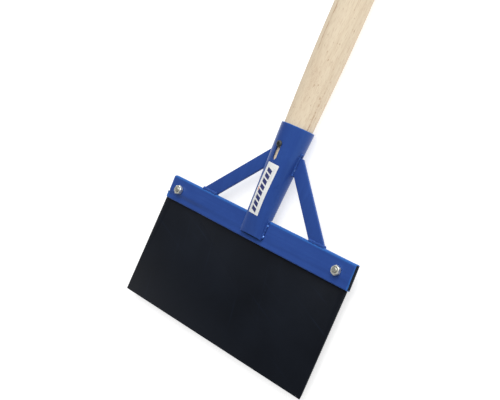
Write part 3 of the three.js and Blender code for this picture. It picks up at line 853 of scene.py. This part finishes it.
def bar_faces(bar, y, x):
    """Front and back heights of the plate at the heights y, for one place x along the bar."""
    bottom, top = bar_low.y, bar_high.y
    crease = bottom + bar.lip_height
    fade = smooth_step(x - bar_low.x, bar.fade_start, bar.fade_end)
    press = 1 - (1 - bar.last_press) * fade
    rise = smooth_step(y, crease - bar.crease_width, crease + bar.crease_width)
    share = (y - bottom) / (top - bottom)
    front = bar_high.z - bar.lip_step * press * (1 - rise) - bar.dish * np.sin(math.pi * share)
    front -= edge_drop(y - bottom, bar.lip_radius) + edge_drop(top - y, bar.front_radius)
    closed = smooth_step(x, bar_high.x - bar.closed_end, bar_high.x - bar.closed_end / 2)
    back_rise = (1 - closed) * smooth_step(y, crease - bar.crease_width / 2, crease + bar.crease_width / 2)
    back = bar_low.z + (bar_high.z - bar.thickness - bar_low.z) * back_rise
    back += edge_drop(top - y, bar.back_radius)
    return front, back


def bar_piece():
    """The clamp bar, swept along its length, with bolt holes."""
    bar = sizes()[0]
    y = bar_heights(bar)
    left, right = bar_ends(bar, y)
    end_steps = [(0.0, 0.35), (0.08 * MM, 0.14), (0.18 * MM, 0.04), (0.35 * MM, 0.0)]
    places = [(left + step, inset) for step, inset in end_steps]
    inner = np.linspace(0, 1, 90)[1:-1]
    span_left, span_right = left + end_steps[-1][0], right - end_steps[-1][0]
    places += [(span_left + (span_right - span_left) * u, 0.0) for u in inner]
    places += [(right - step, inset) for step, inset in reversed(end_steps)]
    rings = []
    for x, inset in places:
        front, back = bar_faces(bar, y, float(np.mean(x)))
        shrink = inset * MM
        centre = (bar_low.y + bar_high.y) / 2
        height = centre + (y - centre) * (1 - 2 * shrink / (bar_high.y - bar_low.y))
        front_points = np.stack([x, height, front - shrink], axis=1)
        back_points = np.stack([x, height, back + np.minimum(shrink, (front - back) / 2 - 1e-5)], axis=1)
        rings.append(np.concatenate([front_points, back_points[::-1]]))
    points, faces = skin(rings, closed_ends=False)
    count, half = len(rings[0]), len(y)
    for start in (0, (len(rings) - 1) * count):
        for i in range(half - 1):
            faces.append((start + i, start + i + 1, start + count - 2 - i, start + count - 1 - i))
    piece = new_piece("bar_plate", points, faces)
    reach = 10 * MM
    subtract(piece, *[rod(f"hole_{side}", bar.hole_radius, bar_low.z - reach, bar_high.z + reach,
                          middle(f"bolt_{side}")) for side in ("left", "right")])
    return piece


# ---- Socket -------------------------------------------------------------------------------------------
def socket_length():
    """From the socket's lower end to its mouth."""
    return socket_high.y - (bar_low.y + sizes()[1].setback)


def half_widths(s):
    """Half-widths of the socket's outside across and up, at the distances s from its lower end."""
    socket = sizes()[1]
    mouth = (socket_high.x - socket_low.x) / 2
    cone = socket.end_radius + (mouth - socket.end_radius) * s / socket_length()
    press = np.clip(1 - s / socket.flat_length, 0.0, None) ** 2
    return cone + socket.spread * press, cone * (1 - socket.squeeze * press)


def squareness(s):
    """Exponent of the socket's outline: 2 where it is round, more where it is pressed flat."""
    socket = sizes()[1]
    return 2.0 + socket.boxed * np.clip(1 - s / socket.flat_length, 0.0, 1.0) ** 2


def socket_ring(s, inset, segments):
    """One ring of the socket at a distance s from its lower end, moved in by inset."""
    turns = np.linspace(0, 2 * math.pi, segments, endpoint=False)
    a, b = half_widths(s)
    a, b = a - inset, max(b - inset, 0.4 * MM)
    y = bar_low.y + sizes()[1].setback + s
    power = 2 / squareness(s)
    across = np.sign(np.cos(turns)) * np.abs(np.cos(turns)) ** power
    up = np.sign(np.sin(turns)) * np.abs(np.sin(turns)) ** power
    return np.stack([AXIS_X + a * across, np.full(segments, y), bar_high.z + b * up], axis=1)


def socket_piece():
    """The conical socket: a tube pressed flat at its lower end, saddled on the bar, with a screw slot."""
    socket = sizes()[1]
    segments = 128
    total = socket_length()
    rim = socket.rim
    stations = list(np.linspace(-10 * MM, socket.flat_length, 46)) + list(
        np.linspace(socket.flat_length, total - rim, 14))[1:]
    rings = [socket_ring(s, 0.0, segments) for s in stations]
    rings += [socket_ring(total - rim + dy, rim - dx, segments) for dy, dx in arc(rim, 0.12, math.pi / 2, 6)]
    rings += [socket_ring(total - rim + dy, socket.wall - rim + dx, segments)
              for dy, dx in arc(rim, math.pi / 2, 0.0, 6)]
    for s in reversed(stations[:-1]):
        share = min(max(s / socket.flat_length, 0.0), 1.0)
        rings.append(socket_ring(s, socket.end_wall + (socket.wall - socket.end_wall) * share, segments))
    points, faces = skin(rings, closed_ends=False)
    count = len(rings) * segments
    for j in range(segments):
        k = (j + 1) % segments
        faces.append((count - segments + j, count - segments + k, k, j))
    piece = new_piece("socket_tube", points, faces)

    lower = bar_low.y + socket.setback
    reach = 60 * MM
    foot, plate = lower - socket.end_reach, bar_high.z
    lean = math.tan(socket.end_cut)
    wedge_points = [(x, y, z) for x in (AXIS_X - reach, AXIS_X + reach)
                    for y, z in ((foot - 2 * reach, plate - reach), (foot - 2 * reach, plate + reach),
                                 (foot + reach * lean, plate + reach), (foot - reach * lean, plate - reach))]
    wedge_faces = [(0, 1, 2, 3), (7, 6, 5, 4), (0, 4, 5, 1), (1, 5, 6, 2), (2, 6, 7, 3), (3, 7, 4, 0)]
    wedge = new_piece("wedge", wedge_points, wedge_faces)
    saddle = block("saddle", (AXIS_X - reach, lower - reach, bar_high.z - reach),
                   (AXIS_X + reach, bar_high.y + socket.seam_gap, bar_high.z + socket.seam_gap))
    slot_top = socket_high.y - socket.slot_from_mouth
    slot_low, slot_high = bar_high.z + 5 * MM, bar_high.z + reach
    radius = socket.slot_width / 2
    outline = []
    for start, y in ((0.0, slot_top - radius), (math.pi, slot_top - socket.slot_length + radius)):
        outline += [(AXIS_X + radius * math.cos(start + a), y + radius * math.sin(start + a))
                    for a in np.linspace(0, math.pi, 17)]
    slot = new_piece("slot", *skin([np.array([(x, y, z) for x, y in outline]) for z in (slot_low, slot_high)]))
    subtract(piece, wedge, saddle, slot)
    return piece


# ---- Handle and its screw -----------------------------------------------------------------------------
def handle_piece():
    """The turned handle: a cone into the socket, a slow taper and a rounded end."""
    small, socket = sizes()[2], sizes()[1]
    mouth_y = socket_high.y
    full = (handle_high.x - handle_low.x) / 2
    inset = socket.wall + small.handle_fit
    lower = bar_low.y + socket.setback
    start = handle_low.y
    profile = [(float(half_widths(y - lower)[0]) - inset, y) for y in np.linspace(start, mouth_y, 14)]
    profile.insert(0, (profile[0][0] - 1.2 * MM, start))
    profile[1] = (profile[1][0], start + 1.2 * MM)
    mouth = profile[-1][0]
    for t in np.linspace(0, 1, 25)[1:]:
        profile.append((mouth + (full - mouth) * math.sin(t * math.pi / 2), mouth_y + t * small.handle_cone))
    shoulder = handle_high.y - small.handle_rounding
    taper = np.linspace(profile[-1][1], shoulder, 40)[1:]
    profile += [(full + (small.handle_end - full) * (y - taper[0]) / (shoulder - taper[0]), y) for y in taper]
    for dy, dr in arc(small.handle_rounding, 0.0, math.pi / 2, 14)[1:]:
        profile.append((small.handle_end - small.handle_rounding + dr, shoulder + dy))
    turns = np.linspace(0, 2 * math.pi, 128, endpoint=False)
    rings = [np.stack([AXIS_X + r * np.cos(turns), np.full(128, y), AXIS_Z + r * np.sin(turns)], axis=1)
             for r, y in profile]
    return new_piece("handle_wood", *skin(rings))


def screw_piece():
    """The handle's screw: a pan head with a cross recess, and a shank that tapers to a point."""
    small = sizes()[2]
    low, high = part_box("handle_screw")
    centre = middle("handle_screw")
    radius = small.screw_head
    head_low = high.z - 2.2 * MM
    profile = [(0.12 * MM, low.z), (1.9 * MM, low.z + 5 * MM), (1.9 * MM, head_low), (radius - 0.15 * MM, head_low)]
    profile += [(radius, head_low + 0.15 * MM), (radius, head_low + 0.5 * MM)]
    rise = high.z - head_low - 0.5 * MM
    profile += [(radius * math.cos(a), head_low + 0.5 * MM + rise * math.sin(a))
                for a in np.linspace(0, math.pi / 2, 12)[1:-1]]
    piece = new_piece("screw_body", *skin(turned(profile, centre, 64)))
    half_long, half_wide, depth = 1.9 * MM, 0.42 * MM, 1.2 * MM
    turn = math.radians(27)
    cutters = []
    for i in range(2):
        angle = turn + i * math.pi / 2
        cutter = block(f"recess_{i}", (-half_long, -half_wide, high.z - depth), (half_long, half_wide, high.z + depth))
        spin = Quaternion((0, 0, 1), angle).to_matrix().to_4x4()
        spin.translation = Vector((centre.x, centre.y, 0))
        cutter.data.transform(spin)
        cutters.append(cutter)
    subtract(piece, *cutters)
    return piece


# ---- Bolts and nuts -----------------------------------------------------------------------------------
def bolt_piece(side):
    """A mushroom-head bolt with a domed head, a square neck and a rolled thread."""
    small = sizes()[2]
    low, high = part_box(f"bolt_{side}")
    centre = middle(f"bolt_{side}")
    head = (high.x - low.x) / 2
    under = low.z + small.head_height
    segments = 72
    turns = np.linspace(0, 2 * math.pi, segments, endpoint=False)
    rings = turned([(max(head * math.sin(a), 0.1 * MM), under - small.head_height * math.cos(a))
                    for a in np.linspace(0.02, math.pi / 2 - 0.12, 14)], centre, segments)
    rings += turned([(head, under - 0.25 * MM), (head - 0.2 * MM, under)], centre, segments)
    neck = 3.0 * MM
    square = neck / np.maximum(np.abs(np.cos(turns)), np.abs(np.sin(turns)))
    square = np.minimum(square, neck * 1.33)
    neck_top = blade_high.z + 0.1 * MM
    for z in (under, neck_top):
        rings.append(np.stack([centre.x + square * np.cos(turns), centre.y + square * np.sin(turns),
                               np.full(segments, z)], axis=1))
    outer = 2.95 * MM
    chamfer = 0.7 * MM
    for z in np.arange(neck_top, high.z - 0.02 * MM, small.thread_pitch / 10):
        wave = ((z / small.thread_pitch - turns / (2 * math.pi)) % 1.0)
        tooth = 1 - np.abs(2 * wave - 1)
        radius = outer - small.thread_depth * np.clip(1.25 * tooth - 0.12, 0.0, 1.0)
        radius = np.minimum(radius, outer - max(0.0, chamfer - (high.z - z)))
        rings.append(np.stack([centre.x + radius * np.cos(turns), centre.y + radius * np.sin(turns),
                               np.full(segments, z)], axis=1))
    rings += turned([(outer - chamfer - 0.1 * MM, high.z), (outer - chamfer - 0.5 * MM, high.z - 0.12 * MM),
                     (0.2 * MM, high.z - 0.15 * MM)], centre, segments)
    return new_piece(f"bolt_body_{side}", *skin(rings), sharp=math.radians(50))


def nut_piece(side):
    """A hexagon nut, chamfered on both faces, with a countersunk bore."""
    small = sizes()[2]
    low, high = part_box(f"nut_{side}")
    centre = middle(f"nut_{side}")
    flat = small.nut_flats / 2
    segments = 144
    turns = np.linspace(0, 2 * math.pi, segments, endpoint=False)
    lean = (turns + math.pi / 6 + NUT_TURN[side]) % (math.pi / 3) - math.pi / 6
    hexagon = flat / np.cos(lean)
    hexagon = np.minimum(hexagon, flat * 1.145)
    bore, sink, land = 3.02 * MM, 3.75 * MM, flat * 0.94
    drop = np.maximum(0.0, hexagon - land) * math.tan(math.radians(28))

    def ring(radius, height):
        radius = np.broadcast_to(radius, segments)
        height = np.broadcast_to(height, segments)
        return np.stack([centre.x + radius * np.cos(turns), centre.y + radius * np.sin(turns), height], axis=1)

    soft = 0.08 * MM
    rings = [ring(bore, low.z + 0.8 * MM), ring(sink, low.z), ring(land, low.z),
             ring(hexagon - soft, low.z + drop), ring(hexagon, low.z + drop + soft),
             ring(hexagon, high.z - drop - soft), ring(hexagon - soft, high.z - drop),
             ring(land, high.z), ring(sink, high.z), ring(bore, high.z - 0.8 * MM)]
    points, faces = skin(rings, closed_ends=False)
    last = (len(rings) - 1) * segments
    for j in range(segments):
        k = (j + 1) % segments
        faces.append((last + j, last + k, k, j))
    return new_piece(f"nut_body_{side}", points, faces, sharp=math.radians(22))


SPATTERED = (("weld_socket_right", "first"), ("weld_socket_right", "last"), ("weld_brace_right_front", "first"),
             ("weld_brace_right_front", "last"), ("weld_foot_right_front", "last"))
SPATTER_SEED = 5
NUT_TURN = {"left": math.radians(12), "right": math.radians(-9)}


# ---- Label --------------------------------------------------------------------------------------------
def label_piece():
    """The label: a thin film on the socket's front, with rounded corners and a UV map of its own."""
    small, socket = sizes()[2], sizes()[1]
    columns, rows = 28, 90
    half_w, half_l = small.label_width / 2, small.label_length / 2
    label_low, label_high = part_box("label")
    s_middle = (label_low.y + label_high.y) / 2 - (bar_low.y + socket.setback)
    cos_skew, sin_skew = math.cos(small.label_skew), math.sin(small.label_skew)
    points, uvs = [], []
    for lift in (0.04 * MM, 0.04 * MM + small.label_film):
        for i in range(rows + 1):
            along = half_l * math.sin((i / rows - 0.5) * math.pi)
            cut = float(edge_drop(half_l - abs(along), small.label_corner))
            for j in range(columns + 1):
                across = (half_w - cut) * (2 * j / columns - 1)
                x = across * cos_skew + along * sin_skew + small.label_shift
                s = s_middle + along * cos_skew - across * sin_skew
                a, b = half_widths(s)
                power = squareness(s)
                height = b * (1 - abs(x / a) ** power) ** (1 / power)
                steep = 1 + (b * x / a ** 2) ** 2 / max(1 - (x / a) ** 2, 0.2)
                points.append((AXIS_X + x, bar_low.y + socket.setback + s,
                               bar_high.z + height + lift * math.sqrt(steep)))
                uvs.append((0.5 + across / (2 * half_w), 0.5 + along / (2 * half_l)))
    side = (rows + 1) * (columns + 1)
    index = lambda layer, i, j: layer * side + i * (columns + 1) + j
    faces = []
    for i in range(rows):
        for j in range(columns):
            square = [(i, j), (i, j + 1), (i + 1, j + 1), (i + 1, j)]
            faces.append(tuple(index(1, *corner) for corner in square))
            faces.append(tuple(index(0, *corner) for corner in reversed(square)))
    border = [(0, j) for j in range(columns)] + [(i, columns) for i in range(rows)]
    border += [(rows, j) for j in range(columns, 0, -1)] + [(i, 0) for i in range(rows, 0, -1)]
    for here, there in zip(border, border[1:] + border[:1]):
        faces.append((index(0, *here), index(0, *there), index(1, *there), index(1, *here)))
    mesh = bpy.data.meshes.new("label_sheet")
    mesh.from_pydata(points, [], faces)
    layer = mesh.uv_layers.new(name="label")
    for loop in mesh.loops:
        layer.data[loop.index].uv = uvs[loop.vertex_index]
    piece = bpy.data.objects.new("label_sheet", mesh)
    bpy.context.scene.collection.objects.link(piece)
    tidy_mesh(mesh)
    shade(mesh, math.radians(35))
    return piece


# ---- Welds --------------------------------------------------------------------------------------------
def seam_line(node):
    """Points along the middle of a CAD weld bead, from one end to the other."""
    points = np.array([v.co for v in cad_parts[node].data.vertices])
    low, high = points.min(0), points.max(0)
    along = int(np.argmax(high - low))
    edges = np.linspace(low[along], high[along], 6)
    line = []
    for start, end in zip(edges, edges[1:]):
        near = points[(points[:, along] >= start - 1e-5) & (points[:, along] <= end + 1e-5)]
        if len(near):
            centre = (near.min(0) + near.max(0)) / 2
            centre[along] = (start + end) / 2
            line.append(centre)
    line[0][along] = low[along]
    line[-1][along] = high[along]
    return line


def weld_tree():
    """Geometry nodes that lay overlapping ripples along a line, swollen at both ends."""
    tree = bpy.data.node_groups.new("weld_ripples", "GeometryNodeTree")
    face = tree.interface
    face.new_socket("Geometry", in_out="INPUT", socket_type="NodeSocketGeometry")
    for label, kind, default in (("Ripple", "NodeSocketFloat", 0.00125), ("Radius", "NodeSocketFloat", 0.00175),
                                 ("Unevenness", "NodeSocketFloat", 0.18), ("Seed", "NodeSocketInt", 1),
                                 ("Material", "NodeSocketMaterial", None)):
        socket = face.new_socket(label, in_out="INPUT", socket_type=kind)
        if default is not None:
            socket.default_value = default
    face.new_socket("Geometry", in_out="OUTPUT", socket_type="NodeSocketGeometry")
    source = tree.nodes.new("NodeGroupInput").outputs
    sink = tree.nodes.new("NodeGroupOutput")
    curve = add(tree, "GeometryNodeMeshToCurve", {"Mesh": source["Geometry"]})
    beads = add(tree, "GeometryNodeResampleCurve", {
        "Curve": curve.outputs[0], "Length": source["Ripple"]}, mode="LENGTH")
    ball = add(tree, "GeometryNodeMeshUVSphere", {"Segments": 20, "Rings": 12, "Radius": 1.0})
    tangent = tree.nodes.new("GeometryNodeInputTangent")
    facing = add(tree, "FunctionNodeAlignRotationToVector", {"Vector": tangent.outputs[0]}, axis="Z")
    place = tree.nodes.new("GeometryNodeSplineParameter")
    from_middle = add(tree, "ShaderNodeMath", {0: place.outputs["Factor"], 1: 0.5}, operation="SUBTRACT")
    distance = add(tree, "ShaderNodeMath", {0: from_middle.outputs[0]}, operation="ABSOLUTE")
    swelling = add(tree, "ShaderNodeMapRange", {
        "Value": distance.outputs[0], "From Min": 0.40, "From Max": 0.47, "To Min": 1.0, "To Max": 1.35})
    lean = add(tree, "ShaderNodeMath", {0: 1.0, 1: source["Unevenness"]}, operation="SUBTRACT")
    fat = add(tree, "ShaderNodeMath", {0: 1.0, 1: source["Unevenness"]}, operation="ADD")
    chance = add(tree, "FunctionNodeRandomValue", {"Seed": source["Seed"]}, data_type="FLOAT")
    tree.links.new(lean.outputs[0], chance.inputs[2])
    tree.links.new(fat.outputs[0], chance.inputs[3])
    size = add(tree, "ShaderNodeMath", {0: swelling.outputs[0], 1: chance.outputs[1]}, operation="MULTIPLY")
    scaled = add(tree, "ShaderNodeMath", {0: size.outputs[0], 1: source["Radius"]}, operation="MULTIPLY")
    thin = add(tree, "ShaderNodeMath", {0: scaled.outputs[0], 1: 0.72}, operation="MULTIPLY")
    shape = add(tree, "ShaderNodeCombineXYZ", {
        "X": scaled.outputs[0], "Y": scaled.outputs[0], "Z": thin.outputs[0]})
    laid = add(tree, "GeometryNodeInstanceOnPoints", {
        "Points": beads.outputs[0], "Instance": ball.outputs["Mesh"], "Rotation": facing.outputs[0],
        "Scale": shape.outputs[0]})
    real = add(tree, "GeometryNodeRealizeInstances", {"Geometry": laid.outputs[0]})
    smooth = add(tree, "GeometryNodeSetShadeSmooth", {"Geometry": real.outputs[0]})
    coated = add(tree, "GeometryNodeSetMaterial", {
        "Geometry": smooth.outputs[0], "Material": source["Material"]})
    tree.links.new(coated.outputs[0], sink.inputs[0])
    return tree


def spatter_tree():
    """Geometry nodes that scatter drops of weld metal around a line."""
    tree = bpy.data.node_groups.new("weld_spatter", "GeometryNodeTree")
    face = tree.interface
    face.new_socket("Geometry", in_out="INPUT", socket_type="NodeSocketGeometry")
    for label, kind, default in (("Count", "NodeSocketInt", 7), ("Spread", "NodeSocketFloat", 0.0024),
                                 ("Radius", "NodeSocketFloat", 0.001), ("Seed", "NodeSocketInt", 1),
                                 ("Material", "NodeSocketMaterial", None)):
        socket = face.new_socket(label, in_out="INPUT", socket_type=kind)
        if default is not None:
            socket.default_value = default
    face.new_socket("Geometry", in_out="OUTPUT", socket_type="NodeSocketGeometry")
    source = tree.nodes.new("NodeGroupInput").outputs
    sink = tree.nodes.new("NodeGroupOutput")
    curve = add(tree, "GeometryNodeMeshToCurve", {"Mesh": source["Geometry"]})
    spots = add(tree, "GeometryNodeResampleCurve", {"Curve": curve.outputs[0], "Count": source["Count"]},
                mode="COUNT")
    points = add(tree, "GeometryNodeCurveToPoints", {"Curve": spots.outputs[0]}, mode="EVALUATED")
    back = add(tree, "ShaderNodeMath", {0: source["Spread"], 1: -1.0}, operation="MULTIPLY")
    low = add(tree, "ShaderNodeCombineXYZ", {"X": back.outputs[0], "Y": back.outputs[0], "Z": 0.0})
    high = add(tree, "ShaderNodeCombineXYZ", {"X": source["Spread"], "Y": source["Spread"], "Z": 0.0})
    throw = add(tree, "FunctionNodeRandomValue", {"Seed": source["Seed"]}, data_type="FLOAT_VECTOR")
    tree.links.new(low.outputs[0], throw.inputs[0])
    tree.links.new(high.outputs[0], throw.inputs[1])
    thrown = add(tree, "GeometryNodeSetPosition", {"Geometry": points.outputs[0], "Offset": throw.outputs[0]})
    small = add(tree, "ShaderNodeMath", {0: source["Radius"], 1: 0.35}, operation="MULTIPLY")
    size = add(tree, "FunctionNodeRandomValue", {"Seed": source["Seed"]}, data_type="FLOAT")
    tree.links.new(small.outputs[0], size.inputs[2])
    tree.links.new(source["Radius"], size.inputs[3])
    drop = add(tree, "GeometryNodeMeshIcoSphere", {"Radius": 1.0, "Subdivisions": 3})
    laid = add(tree, "GeometryNodeInstanceOnPoints", {
        "Points": thrown.outputs[0], "Instance": drop.outputs["Mesh"], "Scale": size.outputs[1]})
    real = add(tree, "GeometryNodeRealizeInstances", {"Geometry": laid.outputs[0]})
    smooth = add(tree, "GeometryNodeSetShadeSmooth", {"Geometry": real.outputs[0]})
    coated = add(tree, "GeometryNodeSetMaterial", {
        "Geometry": smooth.outputs[0], "Material": source["Material"]})
    tree.links.new(coated.outputs[0], sink.inputs[0])
    return tree


def grown(name, line, tree, values):
    """A mesh that a geometry tree grows along a line, with the tree's inputs set by name."""
    mesh = bpy.data.meshes.new(name)
    mesh.from_pydata([tuple(p) for p in line], [(i, i + 1) for i in range(len(line) - 1)], [])
    piece = bpy.data.objects.new(name, mesh)
    bpy.context.scene.collection.objects.link(piece)
    growth = piece.modifiers.new("growth", "NODES")
    growth.node_group = tree
    for item in tree.interface.items_tree:
        if item.item_type == "SOCKET" and item.in_out == "INPUT" and item.name in values:
            growth[item.identifier] = values[item.name]
    settle(piece, math.radians(60))
    return piece


def spatter_piece(node, end, seed, material):
    """Drops of weld metal on the plate and the socket beside one end of a weld."""
    small = sizes()[2]
    tree = bpy.data.node_groups.get("weld_spatter") or spatter_tree()
    line = seam_line(node)
    line = line[:2] if end == "first" else line[-2:]
    piece = grown(f"{node}_{end}_drops", line, tree, {
        "Count": 4, "Spread": 1.6 * MM, "Radius": small.spatter, "Seed": seed, "Material": material})
    sink_bead(piece.data, node)
    return piece


def weld_piece(node, seed, material):
    """One weld bead: ripples along the CAD bead's own middle line."""
    small = sizes()[2]
    tree = bpy.data.node_groups.get("weld_ripples") or weld_tree()
    piece = grown(f"{node}_ripples", seam_line(node), tree, {
        "Ripple": small.ripple, "Radius": small.bead, "Seed": seed, "Material": material})
    sink_bead(piece.data, node)
    return piece


def sink_bead(mesh, node):
    """Flattens a bead and lets it sink into the corner that it fills."""
    small = sizes()[2]
    points = np.empty(len(mesh.vertices) * 3)
    mesh.vertices.foreach_get("co", points)
    points = points.reshape(-1, 3)
    level = middle(node).z
    down = 1.0 if level < brace_low.z else -1.0
    points[:, 2] = level + 0.6 * (points[:, 2] - level) + down * small.sink
    if "foot" not in node:
        tuck = small.tuck * (0.5 if node == "weld_socket_left" else 1.0)
        points[:, 0] += math.copysign(tuck, AXIS_X - middle(node).x)
    mesh.vertices.foreach_set("co", points.ravel())
    mesh.update()


# ---- Stage --------------------------------------------------------------------------------------------
def aimed(obj, target, roll=0.0):
    """Turns a camera or a light at a target, and about its own axis."""
    direction = Vector(target) - obj.location
    obj.rotation_mode = "QUATERNION"
    obj.rotation_quaternion = direction.to_track_quat("-Z", "Y") @ Quaternion((0, 0, 1), roll)


KEY_FROM = (0.20, 0.80, 0.90)


# ---- Operators ----------------------------------------------------------------------------------------
class SCRAPER_OT_blade(bpy.types.Operator):
    """Make the blade: dark sheet steel with a bright ground bevel"""
    bl_idname = "scraper.blade"
    bl_label = "Blade"

    def execute(self, context):
        bar = sizes()[0]
        piece = refined_copy("blade", "blade_sheet", bar.sheet_edge)
        hand_in(piece, shared_material(steel_material), "spring_steel", "blade")
        piece.data.materials.append(shared_material(ground_material))
        for face in piece.data.polygons:
            slanted = -0.999 < face.normal.z < -0.9 and abs(face.normal.y) > 0.03
            if slanted and face.center.y < blade_low.y + 8 * MM:
                face.material_index = 1
        return {"FINISHED"}


class SCRAPER_OT_bar(bpy.types.Operator):
    """Make the clamp bar with its pressed lip"""
    bl_idname = "scraper.bar"
    bl_label = "Clamp bar"

    def execute(self, context):
        piece = bar_piece()
        hand_in(piece, shared_material(bar_enamel), "blue_paint", "clamp_bar")
        piece.data.materials.append(shared_material(unpainted_and_shaded_material))
        # Painted shade: the bar's end faces take the dark steel where they stand in shade.
        for face in piece.data.polygons:
            if abs(face.normal.x) > 0.97 and abs(face.center.x - AXIS_X) > 0.14:
                face.material_index = 1
        return {"FINISHED"}


class SCRAPER_OT_socket(bpy.types.Operator):
    """Make the conical socket with its slot"""
    bl_idname = "scraper.socket"
    bl_label = "Socket"

    def execute(self, context):
        piece = socket_piece()
        hand_in(piece, shared_material(tube_enamel), "blue_paint", "socket")
        piece.data.materials.append(shared_material(unpainted_and_shaded_material))
        axis = Vector((AXIS_X, 0.0, bar_high.z))
        # Inner faces take the dark steel: unpainted inside the socket, and painted shade in its hollow.
        for face in piece.data.polygons:
            outward = (face.center - axis) * Vector((1.0, 0.0, 1.0))
            if face.center.y < socket_high.y - 3 * MM and face.normal.dot(outward) < -0.5 * outward.length:
                face.material_index = 1
        return {"FINISHED"}


class SCRAPER_OT_braces(bpy.types.Operator):
    """Make the two diagonal braces"""
    bl_idname = "scraper.braces"
    bl_label = "Braces"

    def execute(self, context):
        edge = sizes()[1].brace_edge
        for side in ("left", "right"):
            piece = refined_copy(f"brace_{side}", f"brace_strip_{side}", edge, 3)
            hand_in(piece, shared_material(tube_enamel), "blue_paint", f"brace_{side}")
        return {"FINISHED"}


class SCRAPER_OT_welds(bpy.types.Operator):
    """Lay the rippled weld beads along their seams"""
    bl_idname = "scraper.welds"
    bl_label = "Welds"

    def execute(self, context):
        material = shared_material(tube_enamel)
        nodes = sorted(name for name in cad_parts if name.startswith("weld_"))
        for seed, node in enumerate(nodes, start=1):
            hand_in(weld_piece(node, seed, material), None, "blue_paint", node)
        for seed, (node, end) in enumerate(SPATTERED, start=SPATTER_SEED):
            hand_in(spatter_piece(node, end, seed, shared_material(drop_paint_with_painted_glint)), None, "blue_paint")
        return {"FINISHED"}


class SCRAPER_OT_handle(bpy.types.Operator):
    """Turn the beech handle"""
    bl_idname = "scraper.handle"
    bl_label = "Handle"

    def execute(self, context):
        hand_in(handle_piece(), shared_material(wood_material), "beech", "handle")
        return {"FINISHED"}


class SCRAPER_OT_fasteners(bpy.types.Operator):
    """Make the bolts, the nuts and the handle's screw"""
    bl_idname = "scraper.fasteners"
    bl_label = "Fasteners"

    def execute(self, context):
        for side in ("left", "right"):
            hand_in(bolt_piece(side), shared_material(bolt_material), "zinc", f"bolt_{side}")
            hand_in(nut_piece(side), shared_material(zinc_material), "zinc", f"nut_{side}")
        hand_in(screw_piece(), shared_material(oxide_material), "black_oxide", "handle_screw")
        return {"FINISHED"}


class SCRAPER_OT_label(bpy.types.Operator):
    """Make the unlettered label on the socket"""
    bl_idname = "scraper.label"
    bl_label = "Label"

    def execute(self, context):
        hand_in(label_piece(), shared_material(label_material), "label_film", "label")
        return {"FINISHED"}


class SCRAPER_OT_stage(bpy.types.Operator):
    """Set up the floor, the lights and the camera"""
    bl_idname = "scraper.stage"
    bl_label = "Stage"

    def execute(self, context):
        scene = context.scene
        stage = scene.scraper_stage
        half = stage.floor_size / 2
        corners = [(-half, -half, 0), (half, -half, 0), (half, half, 0), (-half, half, 0)]
        floor = new_piece("studio_floor", corners, [(0, 1, 2, 3)])
        floor.data.materials.append(shared_material(floor_material))

        world = bpy.data.worlds.new("studio_room")
        world.use_nodes = True
        tree = world.node_tree
        direction = tree.nodes.new("ShaderNodeTexCoord").outputs["Generated"]
        height = add(tree, "ShaderNodeSeparateXYZ", {0: direction}).outputs["Z"]
        glow = ramp(tree, height, [(0.0, stage.horizon), (0.10, stage.horizon), (0.50, stage.zenith),
                                   (1.0, stage.zenith)])
        tree.links.new(glow, tree.nodes["Background"].inputs["Color"])
        scene.world = world
        scene.view_settings.view_transform = "Standard"

        lamp = bpy.data.lights.new("key_light", "SUN")
        lamp.energy = stage.key
        lamp.angle = stage.softness
        holder = bpy.data.objects.new("key_light", lamp)
        scene.collection.objects.link(holder)
        aimed(holder, -Vector(KEY_FROM))

        lens = bpy.data.cameras.new("camera")
        lens.lens = stage.lens
        lens.shift_x = stage.shift_x
        lens.shift_y = stage.shift_y
        camera = bpy.data.objects.new("camera", lens)
        scene.collection.objects.link(camera)
        camera.location = stage.eye
        aimed(camera, stage.aim, stage.roll)
        scene.camera = camera
        return {"FINISHED"}


class SCRAPER_PT_panel(bpy.types.Panel):
    """Buttons for each piece of the scraper"""
    bl_idname = "SCRAPER_PT_panel"
    bl_label = "Floor scraper"
    bl_space_type = "VIEW_3D"
    bl_region_type = "UI"
    bl_category = "Scraper"

    def draw(self, context):
        for operator in OPERATORS:
            self.layout.operator(operator.bl_idname)


OPERATORS = (SCRAPER_OT_blade, SCRAPER_OT_bar, SCRAPER_OT_socket, SCRAPER_OT_braces, SCRAPER_OT_welds,
             SCRAPER_OT_handle, SCRAPER_OT_fasteners, SCRAPER_OT_label, SCRAPER_OT_stage)
GROUPS = {"scraper_bar": BarSizes, "scraper_socket": SocketSizes, "scraper_small": SmallSizes,
          "scraper_colours": Colours, "scraper_stage": StageSizes}


def register():
    """Registers the property groups, the operators and the panel."""
    for attribute, kind in GROUPS.items():
        bpy.utils.register_class(kind)
        setattr(bpy.types.Scene, attribute, PointerProperty(type=kind))
    for kind in (*OPERATORS, SCRAPER_PT_panel):
        bpy.utils.register_class(kind)


def unregister():
    """Takes back what register did."""
    for kind in reversed((*OPERATORS, SCRAPER_PT_panel)):
        bpy.utils.unregister_class(kind)
    for attribute, kind in GROUPS.items():
        delattr(bpy.types.Scene, attribute)
        bpy.utils.unregister_class(kind)


def main():
    register()
    bpy.ops.scraper.blade()
    bpy.ops.scraper.bar()
    bpy.ops.scraper.socket()
    bpy.ops.scraper.braces()
    bpy.ops.scraper.welds()
    bpy.ops.scraper.handle()
    bpy.ops.scraper.fasteners()
    bpy.ops.scraper.label()
    bpy.ops.scraper.stage()


if __name__ == "__main__":
    main()
